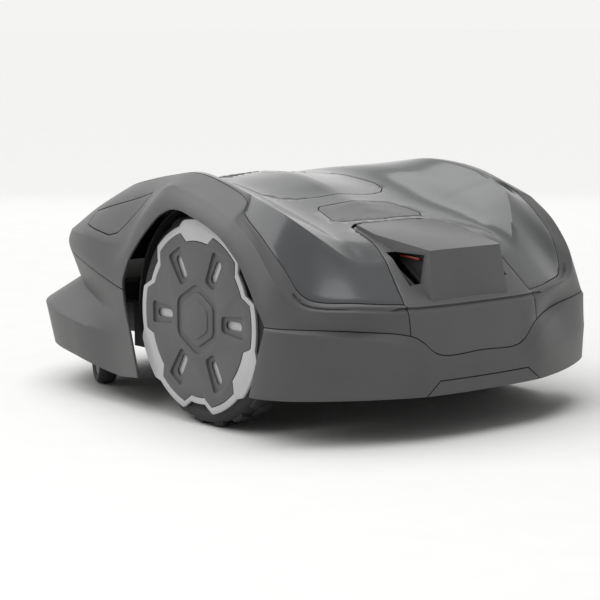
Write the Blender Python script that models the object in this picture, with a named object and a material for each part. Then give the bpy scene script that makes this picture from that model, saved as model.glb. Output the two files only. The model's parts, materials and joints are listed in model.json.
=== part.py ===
"""Robotic lawn mower, built from its separate pieces.

Metres, +Z up.  The mower drives towards -Y and +X is its left side.  The origin is on the ground, below the
middle of the whole machine.  Body points are written as (half width, distance behind the drive axle, height)
for the left half, and both halves are made from them.
"""
import math

import bmesh
import bpy
import numpy as np
from mathutils import Matrix, Vector
from mathutils.bvhtree import BVHTree

for old in list(bpy.data.objects):
    bpy.data.objects.remove(old, do_unlink=True)

# ---------------------------------------------------------------- driving dimensions
BODY_LENGTH = 0.6725      # over the front lip and the rear skirt
BODY_WIDTH = 0.504        # over the wheel arches
BODY_HEIGHT = 0.2865      # ground to the crest over the wheels
WALL = 0.0028             # moulded skins
SEAM = 0.0014             # open line between two body panels
GAP = 0.0003              # clearance between touching pieces
RUNNING = 0.0005          # clearance between pieces that move past each other

AXLE_Y = 0.1008           # drive axle behind the origin
TYRE_RADIUS = 0.120
LUG = 0.004
TYRE_WIDTH = 0.050
TYRE_FACE_X = 0.230       # outer face of the drive tyre
TYRE_BEAD = 0.099         # where the tyre ends and the wheel begins

CASTER_RADIUS = 0.036
CASTER_WIDTH = 0.024
CASTER_TRAIL = 0.021
CASTER_STEER = math.radians(-24)
CASTER_X = 0.158
CASTER_Y = -0.214
CASTER_PIN = 0.004

DECK_FLOOR = 0.056        # underside of the chassis
TRAY_HEIGHT = 0.054
CHASSIS_WALL = 0.003
LID_TOP = 0.185
CHASSIS_HALF = 0.120      # half width between the wheel motors
SHAFT_RADIUS = 0.008
MOTOR_RADIUS = 0.046      # wheel gear motor
MOTOR_REACH = 0.050

CUT_Y = -0.055            # centre of the cutting disc
CUT_HEIGHT = 0.035        # top of the blade disc at the middle setting
DISC_RADIUS = 0.105
DISC_THICK = 0.002
BLADE_COUNT = 3
BLADE_LENGTH = 0.036
BLADE_WIDTH = 0.018
BLADE_THICK = 0.001
SKID_RADIUS = 0.075
CUT_MOTOR_RADIUS = 0.045

# ---------------------------------------------------------------- body shape
# The cage was drawn at this size; other overall sizes stretch it.
DRAWN = (0.504, 0.6725, 0.2865)
DRAWN_AXLE_Y = 0.1008
STRETCH = (BODY_WIDTH / DRAWN[0], BODY_LENGTH / DRAWN[1], BODY_HEIGHT / DRAWN[2])

# Each rail runs from the middle of the back, round the left side, to the middle of the front.
CENTRE = [
    (0, .060, .2280), (0, .056, .2285), (0, .050, .2295), (0, .042, .2320), (0, .033, .2350), (0, .024, .2385),
    (0, .014, .2420), (0, .004, .2455), (0, -.008, .2480), (0, -.030, .2535), (0, -.070, .2655),
    (0, -.120, .2735), (0, -.170, .2725), (0, -.220, .2655), (0, -.250, .2590), (0, -.270, .2545),
    (0, -.280, .2520), (0, -.285, .2510)]
VALLEY = [
    (0, .110, .2165), (.046, .108, .2170), (.084, .104, .2178), (.096, .094, .2195), (.099, .080, .2225),
    (.099, .064, .2262), (.098, .045, .2305), (.096, .026, .2350), (.095, .008, .2395), (.093, -.030, .2490),
    (.091, -.080, .2590), (.088, -.130, .2655), (.084, -.182, .2662), (.076, -.236, .2605),
    (.060, -.275, .2530), (.040, -.296, .2485), (.020, -.306, .2460), (0, -.309, .2453)]
FLANK = [
    (0, .135, .2105), (.054, .132, .2105), (.098, .129, .2100), (.116, .118, .2130), (.130, .099, .2245),
    (.141, .080, .2360), (.146, .058, .2450), (.147, .038, .2510), (.147, .020, .2565), (.146, -.020, .2660),
    (.141, -.070, .2738), (.135, -.125, .2752), (.125, -.185, .2710), (.110, -.246, .2615), (.086, -.295, .2500),
    (.058, -.318, .2440), (.030, -.328, .2410), (0, -.331, .2400)]
CREST = [
    (0, .158, .2000), (.060, .157, .1985), (.106, .155, .1930), (.130, .144, .1990), (.154, .116, .2240),
    (.174, .090, .2455), (.185, .070, .2575), (.188, .050, .2645), (.188, .034, .2695), (.1875, -.006, .2802),
    (.181, -.060, .2865), (.174, -.116, .2800), (.163, -.175, .2705), (.146, -.242, .2590), (.116, -.302, .2450),
    (.080, -.334, .2370), (.040, -.348, .2330), (0, -.352, .2318)]
SEAM_LINE = [
    (0, .206, .1515), (.060, .2045, .1515), (.098, .201, .1515), (.150, .183, .1555), (.198, .154, .1615),
    (.2125, .128, .1970), (.2160, .096, .2265), (.2145, .066, .2480), (.2000, .048, .2640),
    (.1975, -.004, .2800), (.189, -.062, .2858), (.182, -.120, .2788), (.170, -.180, .2690),
    (.152, -.248, .2570), (.121, -.309, .2425), (.084, -.342, .2340), (.042, -.356, .2298), (0, -.360, .2285)]
SHOULDER = [
    (0, .210, .1475), (.061, .2085, .1475), (.0985, .205, .1475), (.153, .187, .1515), (.203, .157, .1575),
    (.2205, .134, .1890), (.2245, .100, .2235), (.2240, .070, .2440), (.2180, .053, .2550), (.2155, -.002, .2740),
    (.208, -.062, .2800), (.202, -.112, .2700), (.197, -.165, .2500), (.188, -.250, .2360), (.156, -.328, .2200),
    (.108, -.372, .2080), (.054, -.388, .2030), (0, -.393, .2010)]
FENDER_EDGE = [
    (0, .214, .1425), (.0612, .2125, .1425), (.099, .209, .1425), (.156, .191, .1465), (.209, .161, .1525),
    (.2305, .142, .1780), (.2345, .110, .2150), (.2345, .078, .2380), (.2335, .058, .2480), (.2325, .000, .2655),
    (.230, -.058, .2730), (.2315, -.104, .2440), (.2320, -.152, .2000), (.2245, -.250, .2000),
    (.192, -.328, .1980), (.130, -.385, .1960), (.065, -.4035, .1950), (0, -.409, .1945)]
WIDEST = [
    (0, .2185, .1180), (.0610, .217, .1180), (.098, .2115, .1300), (.155, .187, .1360), (.213, .164, .1400),
    (.2430, .142, .1500), (.2485, .112, .1800), (.2505, .080, .2080), (.2510, .060, .2200), (.2510, .000, .2350),
    (.2480, -.058, .2400), (.2450, -.104, .2180), (.2390, -.160, .1720), (.2275, -.250, .1780),
    (.1965, -.328, .1860), (.1315, -.3885, .1880), (.0655, -.4075, .1885), (0, -.4125, .1885)]
BUMPER_SEAM = [
    (0, .224, .0940), (.0608, .2220, .0940), (.0968, .2136, .1171), (.154, .184, .1245), (.212, .166, .1300),
    (.2440, .148, .1330), (.2500, .110, .1340), (.2520, .080, .1350), (.2520, .060, .1350), (.2520, .000, .1360),
    (.2500, -.060, .1380), (.2450, -.110, .1410), (.2370, -.165, .1475), (.2260, -.250, .1665),
    (.1960, -.326, .1770), (.1310, -.386, .1800), (.0650, -.405, .1805), (0, -.410, .1805)]
WAIST = [
    (0, .2295, .0800), (.0660, .2265, .0800), (.1030, .2175, .1060), (.159, .190, .1180), (.2170, .169, .1260),
    (.2455, .149, .1300), (.2515, .110, .1310), (.2520, .080, .1320), (.2520, .060, .1320), (.2520, .000, .1320),
    (.2500, -.060, .1320), (.2450, -.110, .1250), (.2370, -.165, .1150), (.2060, -.262, .1230),
    (.1780, -.326, .1360), (.1180, -.372, .1420), (.0600, -.390, .1440), (0, -.394, .1440)]
LIP = [
    (0, .2325, .0650), (.0670, .2300, .0650), (.1060, .2230, .0790), (.1640, .200, .0860), (.2210, .1735, .0900),
    (.2475, .146, .0920), (.2520, .110, .0900), (.2520, .080, .0900), (.2520, .060, .0900), (.2520, .000, .0900),
    (.2500, -.060, .0900), (.2450, -.110, .0900), (.2385, -.165, .0850), (.2395, -.256, .0940),
    (.2140, -.358, .1040), (.1340, -.422, .1100), (.0670, -.4320, .1120), (0, -.4365, .1130)]
HEM = [
    (0, .2345, .0510), (.0680, .2320, .0510), (.1080, .2255, .0515), (.1660, .2040, .0525), (.2225, .1715, .0535),
    (.2480, .1400, .0540), (.2520, .110, .0540), (.2520, .080, .0540), (.2520, .060, .0540), (.2520, .000, .0500),
    (.2500, -.060, .0450), (.2450, -.110, .0420), (.2370, -.165, .0380), (.2350, -.250, .0480),
    (.2080, -.348, .0540), (.1300, -.410, .0580), (.0650, -.4240, .0590), (0, -.4280, .0595)]
RAILS = [CENTRE, VALLEY, FLANK, CREST, SEAM_LINE, SHOULDER, FENDER_EDGE, WIDEST, BUMPER_SEAM, WAIST, LIP, HEM]
CENTRE_ROW, CREST_ROW, SEAM_ROW, EDGE_ROW, BUMPER_ROW, WAIST_ROW, LIP_ROW, HEM_ROW = 0, 3, 4, 6, 8, 9, 10, 11
SHARP_ROWS = (CREST_ROW, EDGE_ROW, BUMPER_ROW, WAIST_ROW, LIP_ROW)
REAR_END_STATION = 7      # the rear bumper reaches this far into the arch
FRONT_END_STATION = 10    # and the front bumper this far
LAST_STATION = len(CENTRE) - 1
ALONG = 2                 # faces between two stations
ACROSS = 1                # faces between two rails

MATERIALS = {
    # name: (colour, roughness, metallic)
    "body_grey": ((0.110, 0.110, 0.112), 0.50, 0.0),
    "gloss_grey": ((0.060, 0.062, 0.066), 0.15, 0.0),
    "tail_grey": ((0.105, 0.105, 0.107), 0.50, 0.0),
    "black_plastic": ((0.012, 0.012, 0.013), 0.60, 0.0),
    "tyre_rubber": ((0.020, 0.020, 0.021), 0.85, 0.0),
    "silver": ((0.560, 0.560, 0.560), 0.40, 0.1),
    "hub_grey": ((0.075, 0.075, 0.078), 0.50, 0.0),
    "lamp_red": ((0.300, 0.030, 0.020), 0.30, 0.0),
    "steel": ((0.550, 0.550, 0.560), 0.35, 1.0),
    "battery_blue": ((0.030, 0.060, 0.140), 0.50, 0.0),
    "circuit_green": ((0.020, 0.120, 0.050), 0.50, 0.0),
    "brass": ((0.600, 0.420, 0.150), 0.35, 1.0),
}


def material(name):
    found = bpy.data.materials.get(name)
    if found:
        return found
    colour, roughness, metallic = MATERIALS[name]
    made = bpy.data.materials.new(name)
    made.use_nodes = True
    shader = made.node_tree.nodes["Principled BSDF"]
    shader.inputs["Base Color"].default_value = (*colour, 1)
    shader.inputs["Roughness"].default_value = roughness
    shader.inputs["Metallic"].default_value = metallic
    return made


# ---------------------------------------------------------------- mesh helpers
def new_object(name, mesh_data, finish):
    mesh = bpy.data.meshes.new(name)
    mesh_data.to_mesh(mesh)
    mesh_data.free()
    made = bpy.data.objects.new(name, mesh)
    bpy.context.collection.objects.link(made)
    if finish:
        mesh.materials.append(material(finish))
    return made


def from_faces(name, points, faces, finish):
    shape = bmesh.new()
    vertices = [shape.verts.new(point) for point in points]
    for face in faces:
        shape.faces.new([vertices[index] for index in face])
    bmesh.ops.remove_doubles(shape, verts=shape.verts, dist=1e-6)
    bmesh.ops.recalc_face_normals(shape, faces=shape.faces)
    return new_object(name, shape, finish)


def evaluated_copy(source):
    graph = bpy.context.evaluated_depsgraph_get()
    return bpy.data.meshes.new_from_object(source.evaluated_get(graph))


def apply_modifiers(target):
    bpy.context.view_layer.update()
    finished = evaluated_copy(target)
    target.modifiers.clear()
    target.data = finished
    return target


def boolean(target, tool, operation, keep_tool=False):
    modifier = target.modifiers.new(operation.lower(), "BOOLEAN")
    modifier.operation = operation
    modifier.solver = "MANIFOLD"
    modifier.object = tool
    apply_modifiers(target)
    if not keep_tool:
        bpy.data.objects.remove(tool, do_unlink=True)
    return target


def cut(target, *tools, keep_tool=False):
    for tool in tools:
        boolean(target, tool, "DIFFERENCE", keep_tool)
    return target


def join(target, *tools):
    for tool in tools:
        boolean(target, tool, "UNION")
    return target


def prism(name, outline, low, high, finish=None, axis="Z"):
    """A straight block with the given outline, from low to high along an axis."""
    place = {"Z": lambda a, b, c: (a, b, c),
             "X": lambda a, b, c: (c, a, b),
             "Y": lambda a, b, c: (a, c, b)}[axis]
    count = len(outline)
    points = [place(a, b, low) for a, b in outline] + [place(a, b, high) for a, b in outline]
    faces = [list(range(count)), list(range(count, 2 * count))]
    faces += [[i, (i + 1) % count, (i + 1) % count + count, i + count] for i in range(count)]
    return from_faces(name, points, faces, finish)


def block(name, low, high, finish=None):
    outline = [(low[0], low[1]), (high[0], low[1]), (high[0], high[1]), (low[0], high[1])]
    return prism(name, outline, low[2], high[2], finish)


def circle(radius, sides, centre=(0, 0)):
    steps = [2 * math.pi * (i + 0.5) / sides for i in range(sides)]
    return [(centre[0] + radius * math.cos(a), centre[1] + radius * math.sin(a)) for a in steps]


def cylinder(name, radius, low, high, finish=None, centre=(0, 0), axis="Z", sides=32):
    return prism(name, circle(radius, sides, centre), low, high, finish, axis)


def turned(name, profile, finish, sides=48, axis="X"):
    """A closed ring or disc turned from (radius, along) points; a profile with radius 0 ends is solid."""
    points, rings = [], []
    for radius, along in profile:
        if radius == 0:
            points.append((0, 0, along))
            rings.append([len(points) - 1] * sides)
            continue
        rings.append(list(range(len(points), len(points) + sides)))
        points += [(a, b, along) for a, b in circle(radius, sides)]
    closed = profile[0][0] > 0
    pairs = list(zip(rings, rings[1:])) + ([(rings[-1], rings[0])] if closed else [])
    faces = []
    for lower, upper in pairs:
        for i in range(sides):
            j = (i + 1) % sides
            face = [lower[i], lower[j], upper[j], upper[i]]
            face = [index for k, index in enumerate(face) if index not in face[:k]]
            faces.append(face)
    turn = {"X": lambda p: (p[2], p[0], p[1]), "Z": lambda p: p}[axis]
    return from_faces(name, [turn(point) for point in points], faces, finish)


def mirrored(outline):
    """The whole outline from its left half, which starts and ends on the middle line."""
    other = [(-x, y) for x, y in reversed(outline) if x > 0]
    return list(outline) + other


def rounded(outline, radius, steps=3):
    """The outline with each corner turned by an arc-like curve."""
    result = []
    for i, corner in enumerate(outline):
        before, after = Vector(outline[i - 1]), Vector(outline[(i + 1) % len(outline)])
        corner = Vector(corner)
        reach = min(radius, (before - corner).length * 0.45, (after - corner).length * 0.45)
        start = corner + (before - corner).normalized() * reach
        end = corner + (after - corner).normalized() * reach
        for k in range(steps + 1):
            t = k / steps
            result.append(tuple(start * (1 - t) ** 2 + corner * 2 * t * (1 - t) + end * t * t))
    return result


def placed(target, location, turn=None):
    target.location = location
    if turn is not None:
        target.rotation_euler = turn
    return target


# ---------------------------------------------------------------- body surface
def body_point(point):
    """A cage point at this machine's size, in the machine's frame."""
    x, behind_axle, z = point
    return (x * STRETCH[0], (behind_axle + DRAWN_AXLE_Y) * STRETCH[1], z * STRETCH[2])


def hermite(before, start, end, after, t):
    """A point on the smooth curve from start to end."""
    tangent_in, tangent_out = (end - before) / 2, (after - start) / 2
    return ((2 * t ** 3 - 3 * t ** 2 + 1) * start + (t ** 3 - 2 * t ** 2 + t) * tangent_in
            + (3 * t ** 2 - 2 * t ** 3) * end + (t ** 3 - t ** 2) * tangent_out)


def along_stations(rail):
    """The rail with its curve filled in; it crosses the middle plane squarely at both ends."""
    flip = np.array([-1.0, 1.0, 1.0])
    padded = [rail[1] * flip, *rail, rail[-2] * flip]
    filled = []
    for i in range(1, len(padded) - 2):
        for k in range(ALONG):
            filled.append(hermite(*padded[i - 1:i + 3], k / ALONG))
    filled.append(rail[-1])
    return np.array(filled)


def across_rails(section):
    """One section from the middle to the hem, smooth between the sharp rails."""
    filled = []
    last = len(section) - 1
    for i in range(last):
        start, end = section[i], section[i + 1]
        before = section[i - 1] if i > 0 and i not in SHARP_ROWS else start
        after = section[i + 2] if i + 2 <= last and i + 1 not in SHARP_ROWS else end
        for k in range(ACROSS):
            filled.append(hermite(before, start, end, after, k / ACROSS))
    filled.append(section[-1])
    return filled


def body_grid():
    rails = np.array([along_stations(np.array([body_point(p) for p in rail])) for rail in RAILS])
    return np.array([across_rails(rails[:, s]) for s in range(rails.shape[1])]).transpose(1, 0, 2)


GRID = body_grid()


def surface_normals(grid):
    """Outward normals; the surface carries on as its mirror image past the middle plane."""
    flip = np.array([-1.0, 1.0, 1.0])
    wide = np.concatenate([grid[:, 1:2] * flip, grid, grid[:, -2:-1] * flip], axis=1)
    forward = wide[:, 2:] - wide[:, :-2]
    tall = np.concatenate([grid[1:2] * flip, grid, 2 * grid[-1:] - grid[-2:-1]], axis=0)
    outward = tall[2:] - tall[:-2]
    normals = np.cross(forward, outward)
    normals[0] = np.cross(np.gradient(grid[0], axis=0), (1, 0, 0))
    normals[:, [0, -1], 0] = 0
    return normals / np.linalg.norm(normals, axis=2, keepdims=True)


NORMALS = surface_normals(GRID)


def pulled_in(row, neighbour):
    """An edge row moved back by half a seam towards the row beside it."""
    step = neighbour - row
    length = np.linalg.norm(step, axis=1, keepdims=True)
    return row + step / np.maximum(length, 1e-9) * SEAM / 2


def panel(name, rows, stations, finish, seam_edges=(), depth=0.0, wall=WALL):
    """A skin between two rails and two stations, on both sides of the machine, joined across the middle.

    It lies depth under the body surface and is one wall thick."""
    rows = slice(rows[0] * ACROSS, rows[1] * ACROSS + 1)
    columns = slice(stations[0] * ALONG, stations[1] * ALONG + 1)
    sheets = []
    for below in (depth, depth + wall):
        sheet = GRID[rows, columns] - NORMALS[rows, columns] * below
        if "upper" in seam_edges:
            sheet[0] = pulled_in(sheet[0], sheet[1])
        if "lower" in seam_edges:
            sheet[-1] = pulled_in(sheet[-1], sheet[-2])
        sheets.append(sheet)
    high, wide = sheets[0].shape[:2]
    size = high * wide

    def corner(sheet, r, s):
        return sheet * size + r * wide + s

    faces = []
    for r in range(high - 1):
        for s in range(wide - 1):
            outer = [corner(0, r, s), corner(0, r, s + 1), corner(0, r + 1, s + 1), corner(0, r + 1, s)]
            faces += [outer, [index + size for index in reversed(outer)]]
    for s in range(wide - 1):
        if rows.start > 0:
            faces.append([corner(0, 0, s + 1), corner(0, 0, s), corner(1, 0, s), corner(1, 0, s + 1)])
        faces.append([corner(0, high - 1, s), corner(0, high - 1, s + 1),
                      corner(1, high - 1, s + 1), corner(1, high - 1, s)])
    for r in range(high - 1):
        if stations[0] > 0:
            faces.append([corner(0, r, 0), corner(0, r + 1, 0), corner(1, r + 1, 0), corner(1, r, 0)])
        if stations[1] < LAST_STATION:
            faces.append([corner(0, r + 1, wide - 1), corner(0, r, wide - 1),
                          corner(1, r, wide - 1), corner(1, r + 1, wide - 1)])
    points = np.concatenate([sheet.reshape(-1, 3) for sheet in sheets])
    shape = bmesh.new()
    for side in (1, -1):
        vertices = [shape.verts.new((side * x, y, z)) for x, y, z in points]
        for face in faces:
            shape.faces.new([vertices[index] for index in (face if side > 0 else reversed(face))])
    bmesh.ops.remove_doubles(shape, verts=shape.verts, dist=2e-5)
    bmesh.ops.dissolve_degenerate(shape, edges=shape.edges, dist=1e-5)
    return new_object(name, shape, finish)


def body_outline(points):
    """A plan outline given as (half width, distance behind the axle), at this machine's size."""
    return [body_point((x, y, 0))[:2] for x, y in points]


def grown(outline, amount):
    """The outline moved outwards by an amount, or inwards when it is negative."""
    area = sum(a[0] * b[1] - b[0] * a[1] for a, b in zip(outline, outline[1:] + outline[:1]))
    side = 1 if area > 0 else -1
    result = []
    for i, corner in enumerate(outline):
        before, after = Vector(outline[i - 1]), Vector(outline[(i + 1) % len(outline)])
        corner = Vector(corner)
        enter, leave = (corner - before).normalized(), (after - corner).normalized()
        normal_in, normal_out = Vector((enter.y, -enter.x)) * side, Vector((leave.y, -leave.x)) * side
        middle = (normal_in + normal_out).normalized()
        result.append(tuple(corner + middle * amount / max(middle.dot(normal_in), 0.5)))
    return result


LOW, HIGH = -0.02, 0.40     # cutters run from below the machine to above it


def plan_cutter(outline, amount=0.0, low=LOW):
    return prism("cutter", grown(mirrored(body_outline(outline)), amount), low, HIGH)


# Wheel arch opening beside the axle, drawn round a tyre of this radius.
DRAWN_TYRE = 0.120
AXLE_Z = TYRE_RADIUS + LUG
ARCH = [
    (-.097, -.140), (-.1040, -.0810), (-.1450, .0260), (-.1240, .0590), (-.0930, .0870), (-.0570, .1150),
    (-.0340, .1250), (-.0120, .1250), (.0340, .1130), (.0670, .1000), (.0990, .0730), (.1180, .0460),
    (.1370, .0180), (.1420, .0070), (.1300, -.0340), (.1160, -.0810), (.112, -.140)]
ARCH_INNER_X = 0.168


def arch_cutter(side):
    scale = TYRE_RADIUS / DRAWN_TYRE
    outline = rounded([(AXLE_Y + y * scale, AXLE_Z + z * scale) for y, z in ARCH], 0.008, 2)
    low, high = sorted((side * ARCH_INNER_X, side * BODY_WIDTH))
    return prism("arch", outline, low, high, axis="X")


SIDES = {"left": 1, "right": -1}
MODULE_OUTLINE = [(0, .062), (.052, .063), (.0655, .073), (.0980, .201), (.0988, .209), (.0970, .236), (0, .236)]
HATCH_OUTLINE = [
    (0, -.190), (.062, -.190), (.080, -.172), (.092, -.125), (.096, -.070), (.091, -.050), (.078, -.038),
    (.060, -.031), (.030, -.028), (0, -.028)]
PLATE_OUTLINE = [(0, -.001), (.052, -.001), (.061, .007), (.070, .042), (.063, .052), (0, .053)]
FRONT_PANEL = [(-.266, .226), (-.262, .211), (-.192, .204), (-.176, .208), (-.128, .259)]
HANDLE_OUTLINE = [(-.0690, .0665), (.0690, .0665), (.0880, .0520), (.0960, .030), (-.0960, .030), (-.0880, .0520)]

# Shells
top_cover = panel("top_cover", (CENTRE_ROW, SEAM_ROW), (0, LAST_STATION), "gloss_grey", ("lower",))
hatch = panel("hatch", (CENTRE_ROW, SEAM_ROW), (0, LAST_STATION), "gloss_grey")
nameplate = panel("nameplate", (CENTRE_ROW, SEAM_ROW), (0, 9), "tail_grey")
cut(top_cover, plan_cutter(HATCH_OUTLINE, SEAM / 2), plan_cutter(PLATE_OUTLINE, SEAM / 2),
    plan_cutter(MODULE_OUTLINE, SEAM / 2))
boolean(hatch, plan_cutter(HATCH_OUTLINE, -SEAM / 2), "INTERSECT")
boolean(nameplate, plan_cutter(PLATE_OUTLINE, -SEAM / 2), "INTERSECT")

outer_shell = panel("outer_shell", (SEAM_ROW, BUMPER_ROW), (1, LAST_STATION), "body_grey", ("upper", "lower"))
cut(outer_shell, plan_cutter(MODULE_OUTLINE, SEAM / 2))
rear_bumper = panel("rear_bumper", (BUMPER_ROW, HEM_ROW), (0, REAR_END_STATION), "body_grey", ("upper",))
front_bumper = panel("front_bumper", (BUMPER_ROW, HEM_ROW), (FRONT_END_STATION, LAST_STATION), "body_grey",
                     ("upper",))
for side in SIDES.values():
    for shell in (outer_shell, rear_bumper, front_bumper):
        cut(shell, arch_cutter(side))


def side_outline(points, amount):
    outline = [body_point((0, y, z))[1:] for y, z in points]
    return grown(outline, amount)


for side_name, side in SIDES.items():
    low, high = sorted((side * 0.15, side * BODY_WIDTH))
    inset = panel("front_panel_" + side_name, (SEAM_ROW, BUMPER_ROW), (11, 15), "body_grey")
    boolean(inset, prism("cutter", side_outline(FRONT_PANEL, -SEAM / 2), low, high, axis="X"), "INTERSECT")
    cut(outer_shell, prism("cutter", side_outline(FRONT_PANEL, SEAM / 2), low, high, axis="X"))

# Grab handle in the rear bumper
rear_handle = panel("rear_handle", (BUMPER_ROW, HEM_ROW), (0, 3), "body_grey")
handle_outline = [(x * STRETCH[0], z * STRETCH[2]) for x, z in HANDLE_OUTLINE]
REAR = (0.0, BODY_LENGTH)
boolean(rear_handle, prism("cutter", grown(handle_outline, -SEAM / 2), *REAR, axis="Y"), "INTERSECT")
cut(rear_bumper, prism("cutter", grown(handle_outline, SEAM / 2), *REAR, axis="Y"))

# ---------------------------------------------------------------- tail module
# Raised box: (half width, behind the axle, height) of its corners.
BOX_TOP = [(.0600, .0760, .2276), (.0690, .1180, .2205), (.0550, .1944, .2075)]
BOX_FOOT = [(.0620, .0760, .2165), (.0700, .1180, .1930), (.0590, .2060, .1440)]
BOX_FACES = [
    (0, 1, 4, 3), (1, 2, 5, 4), (6, 7, 10, 9), (7, 8, 11, 10), (0, 1, 7, 6), (1, 2, 8, 7),
    (3, 4, 10, 9), (4, 5, 11, 10), (0, 3, 9, 6), (2, 5, 11, 8)]


def box_solid(name, inset, drop):
    """The raised box, inset on every side and reaching drop further down."""
    corners = []
    for row, lower in ((BOX_TOP, inset), (BOX_FOOT, drop)):
        for place, (x, y, z) in enumerate(row):
            shift = (inset, 0, -inset)[place]
            corners.append((x - inset, y + shift, z - lower))
    points = [body_point(c) for c in corners] + [body_point((-x, y, z)) for x, y, z in corners]
    return from_faces(name, points, BOX_FACES, None)


tail_module = panel("tail_module", (CENTRE_ROW, BUMPER_ROW), (0, 3), "tail_grey", ("lower",))
boolean(tail_module, plan_cutter(MODULE_OUTLINE, -SEAM / 2), "INTERSECT")
join(tail_module, box_solid("box", 0, 0))
cut(tail_module, box_solid("hollow", WALL, 0.05))
VENT_OUTLINE = [(.1240, .2035), (.1880, .2020), (.1850, .1600)]
VENT_FACE_X = 0.049        # the vent plate stands this far from the middle
VENT_OPEN_X = 0.0760       # and its pocket opens here, beside the box
RIB = 0.0022
LAMP_HEIGHT = 0.0026
for side_name, side in SIDES.items():
    low, high = sorted((side * VENT_FACE_X, side * VENT_OPEN_X))
    opening = side_outline(VENT_OUTLINE, 0)
    cut(tail_module, prism("cutter", opening, low, high, axis="X"))
    plate = grown(opening, -GAP)
    low, high = sorted((side * (VENT_FACE_X + GAP), side * (VENT_FACE_X + GAP + RIB)))
    vent = prism("tail_vent_" + side_name, plate, low, high, "black_plastic", axis="X")
    front, rear, foot = (Vector(p) for p in grown(opening, -2 * RIB))
    across = (foot - front).normalized().orthogonal() * RIB / 2
    bar = [front + across, foot + across, foot - across, front - across]
    low, high = sorted((side * (VENT_FACE_X + RIB), side * (VENT_FACE_X + 2 * RIB)))
    join(vent, prism("rib", [tuple(p) for p in bar], low, high, axis="X"))
    along = (rear - front).normalized()
    down = (foot - rear).normalized()
    start, end = front + along * 0.014, rear - along * 0.004
    lamp = [start, end, end + down * LAMP_HEIGHT, start + down * LAMP_HEIGHT]
    low, high = sorted((side * (VENT_FACE_X + 2 * GAP + RIB), side * (VENT_FACE_X + RIB + 0.006)))
    prism("tail_light_" + side_name, [tuple(p) for p in lamp], low, high, "lamp_red", axis="X")

# ---------------------------------------------------------------- stop button, in the hatch
BUTTON_AT = (0, -.150, .272)
BUTTON_HALF = (0.021, 0.012)
button_place = body_point(BUTTON_AT)
button_plan = [(button_place[0] + BUTTON_HALF[0] * x, button_place[1] + BUTTON_HALF[1] * y)
               for x, y in circle(1, 24)]
stop_button = panel("stop_button", (CENTRE_ROW, SEAM_ROW), (8, LAST_STATION), "gloss_grey", wall=2 * WALL)
boolean(stop_button, prism("cutter", grown(button_plan, -RUNNING), LOW, HIGH), "INTERSECT")
cut(hatch, prism("cutter", button_plan, LOW, HIGH))

# ---------------------------------------------------------------- chassis
CHASSIS_OUTLINE = [
    (0, -.270), (.085, -.270), (.098, -.255), (.098, -.150), (.160, -.135), (.160, -.045), (CHASSIS_HALF, -.035),
    (CHASSIS_HALF, .240), (.148, .247), (.138, .262), (.090, .284), (0, .284)]
LID_OUTLINE = [
    (0, -.270), (.085, -.270), (.098, -.262), (.165, -.240), (.176, -.215), (.172, -.175), (.160, -.135),
    (.160, -.045), (CHASSIS_HALF, -.035), (CHASSIS_HALF, .240), (.148, .247), (.138, .262), (.090, .284),
    (0, .284)]
DOME_OUTLINE = [(0, -.190), (.070, -.190), (.085, -.130), (.110, -.100), (.110, .198), (.075, .208), (0, .208)]
PLATE = 0.004
TRAY_TOP = DECK_FLOOR + TRAY_HEIGHT
LID_LOW = TRAY_TOP + GAP
SLEEVE = 0.0035

chassis_tray = prism("chassis_tray", mirrored(CHASSIS_OUTLINE), DECK_FLOOR, TRAY_TOP, "black_plastic")
cut(chassis_tray, prism("hollow", grown(mirrored(CHASSIS_OUTLINE), -CHASSIS_WALL),
                        DECK_FLOOR + CHASSIS_WALL, TRAY_TOP + 0.01))
CUT_BORE = CUT_MOTOR_RADIUS + RUNNING
join(chassis_tray,
     cylinder("sleeve", CUT_BORE + SLEEVE, DECK_FLOOR, TRAY_TOP - 0.002, centre=(0, CUT_Y), sides=48))
cut(chassis_tray, cylinder("bore", CUT_BORE, LOW, HIGH, centre=(0, CUT_Y), sides=48))

chassis_lid = prism("chassis_lid", mirrored(LID_OUTLINE), LID_LOW, LID_LOW + PLATE, "black_plastic")
join(chassis_lid, prism("dome", mirrored(DOME_OUTLINE), LID_LOW + PLATE / 2, LID_TOP))
BOSS_RADIUS, STEM_RADIUS = 0.013, 0.006
BOSS_LOW, BOSS_HIGH = 0.092, 0.146
STEM_BORE = STEM_RADIUS + RUNNING
for side in SIDES.values():
    place = (side * CASTER_X, CASTER_Y)
    join(chassis_lid, cylinder("boss", BOSS_RADIUS, BOSS_LOW, BOSS_HIGH, centre=place, sides=24))
    cut(chassis_lid, cylinder("bore", STEM_BORE, LOW, HIGH, centre=place, sides=24))
cut(chassis_lid, prism("hollow", grown(mirrored(DOME_OUTLINE), -CHASSIS_WALL), LOW, LID_TOP - CHASSIS_WALL))

# Inside the chassis
TRAY_FLOOR = DECK_FLOOR + CHASSIS_WALL + GAP
BATTERY_LOW, BATTERY_HIGH = (-.070, .060, TRAY_FLOOR), (.070, .200, TRAY_FLOOR + 0.046)
battery_pack = block("battery_pack", BATTERY_LOW, BATTERY_HIGH, "battery_blue")
for x in (-.035, 0, .035):
    cut(battery_pack, block("groove", (x - .001, 0, BATTERY_HIGH[2] - .002), (x + .001, .3, 1)))
BOARD_LOW = BATTERY_HIGH[2] + GAP
control_board = block("control_board", (-.060, .070, BOARD_LOW), (.060, .180, BOARD_LOW + 0.0016), "circuit_green")
for x, y, size in ((-.030, .100, .010), (.020, .120, .014), (-.010, .150, .008), (.040, .090, .006)):
    join(control_board,
         block("chip", (x - size, y - size, BOARD_LOW + .0008), (x + size, y + size, BOARD_LOW + .005)))
CONSOLE_OUTLINE = [(0, -.085), (.060, -.085), (.066, -.070), (.062, .040), (0, .045)]
CONSOLE_TOP = 0.228
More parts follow.
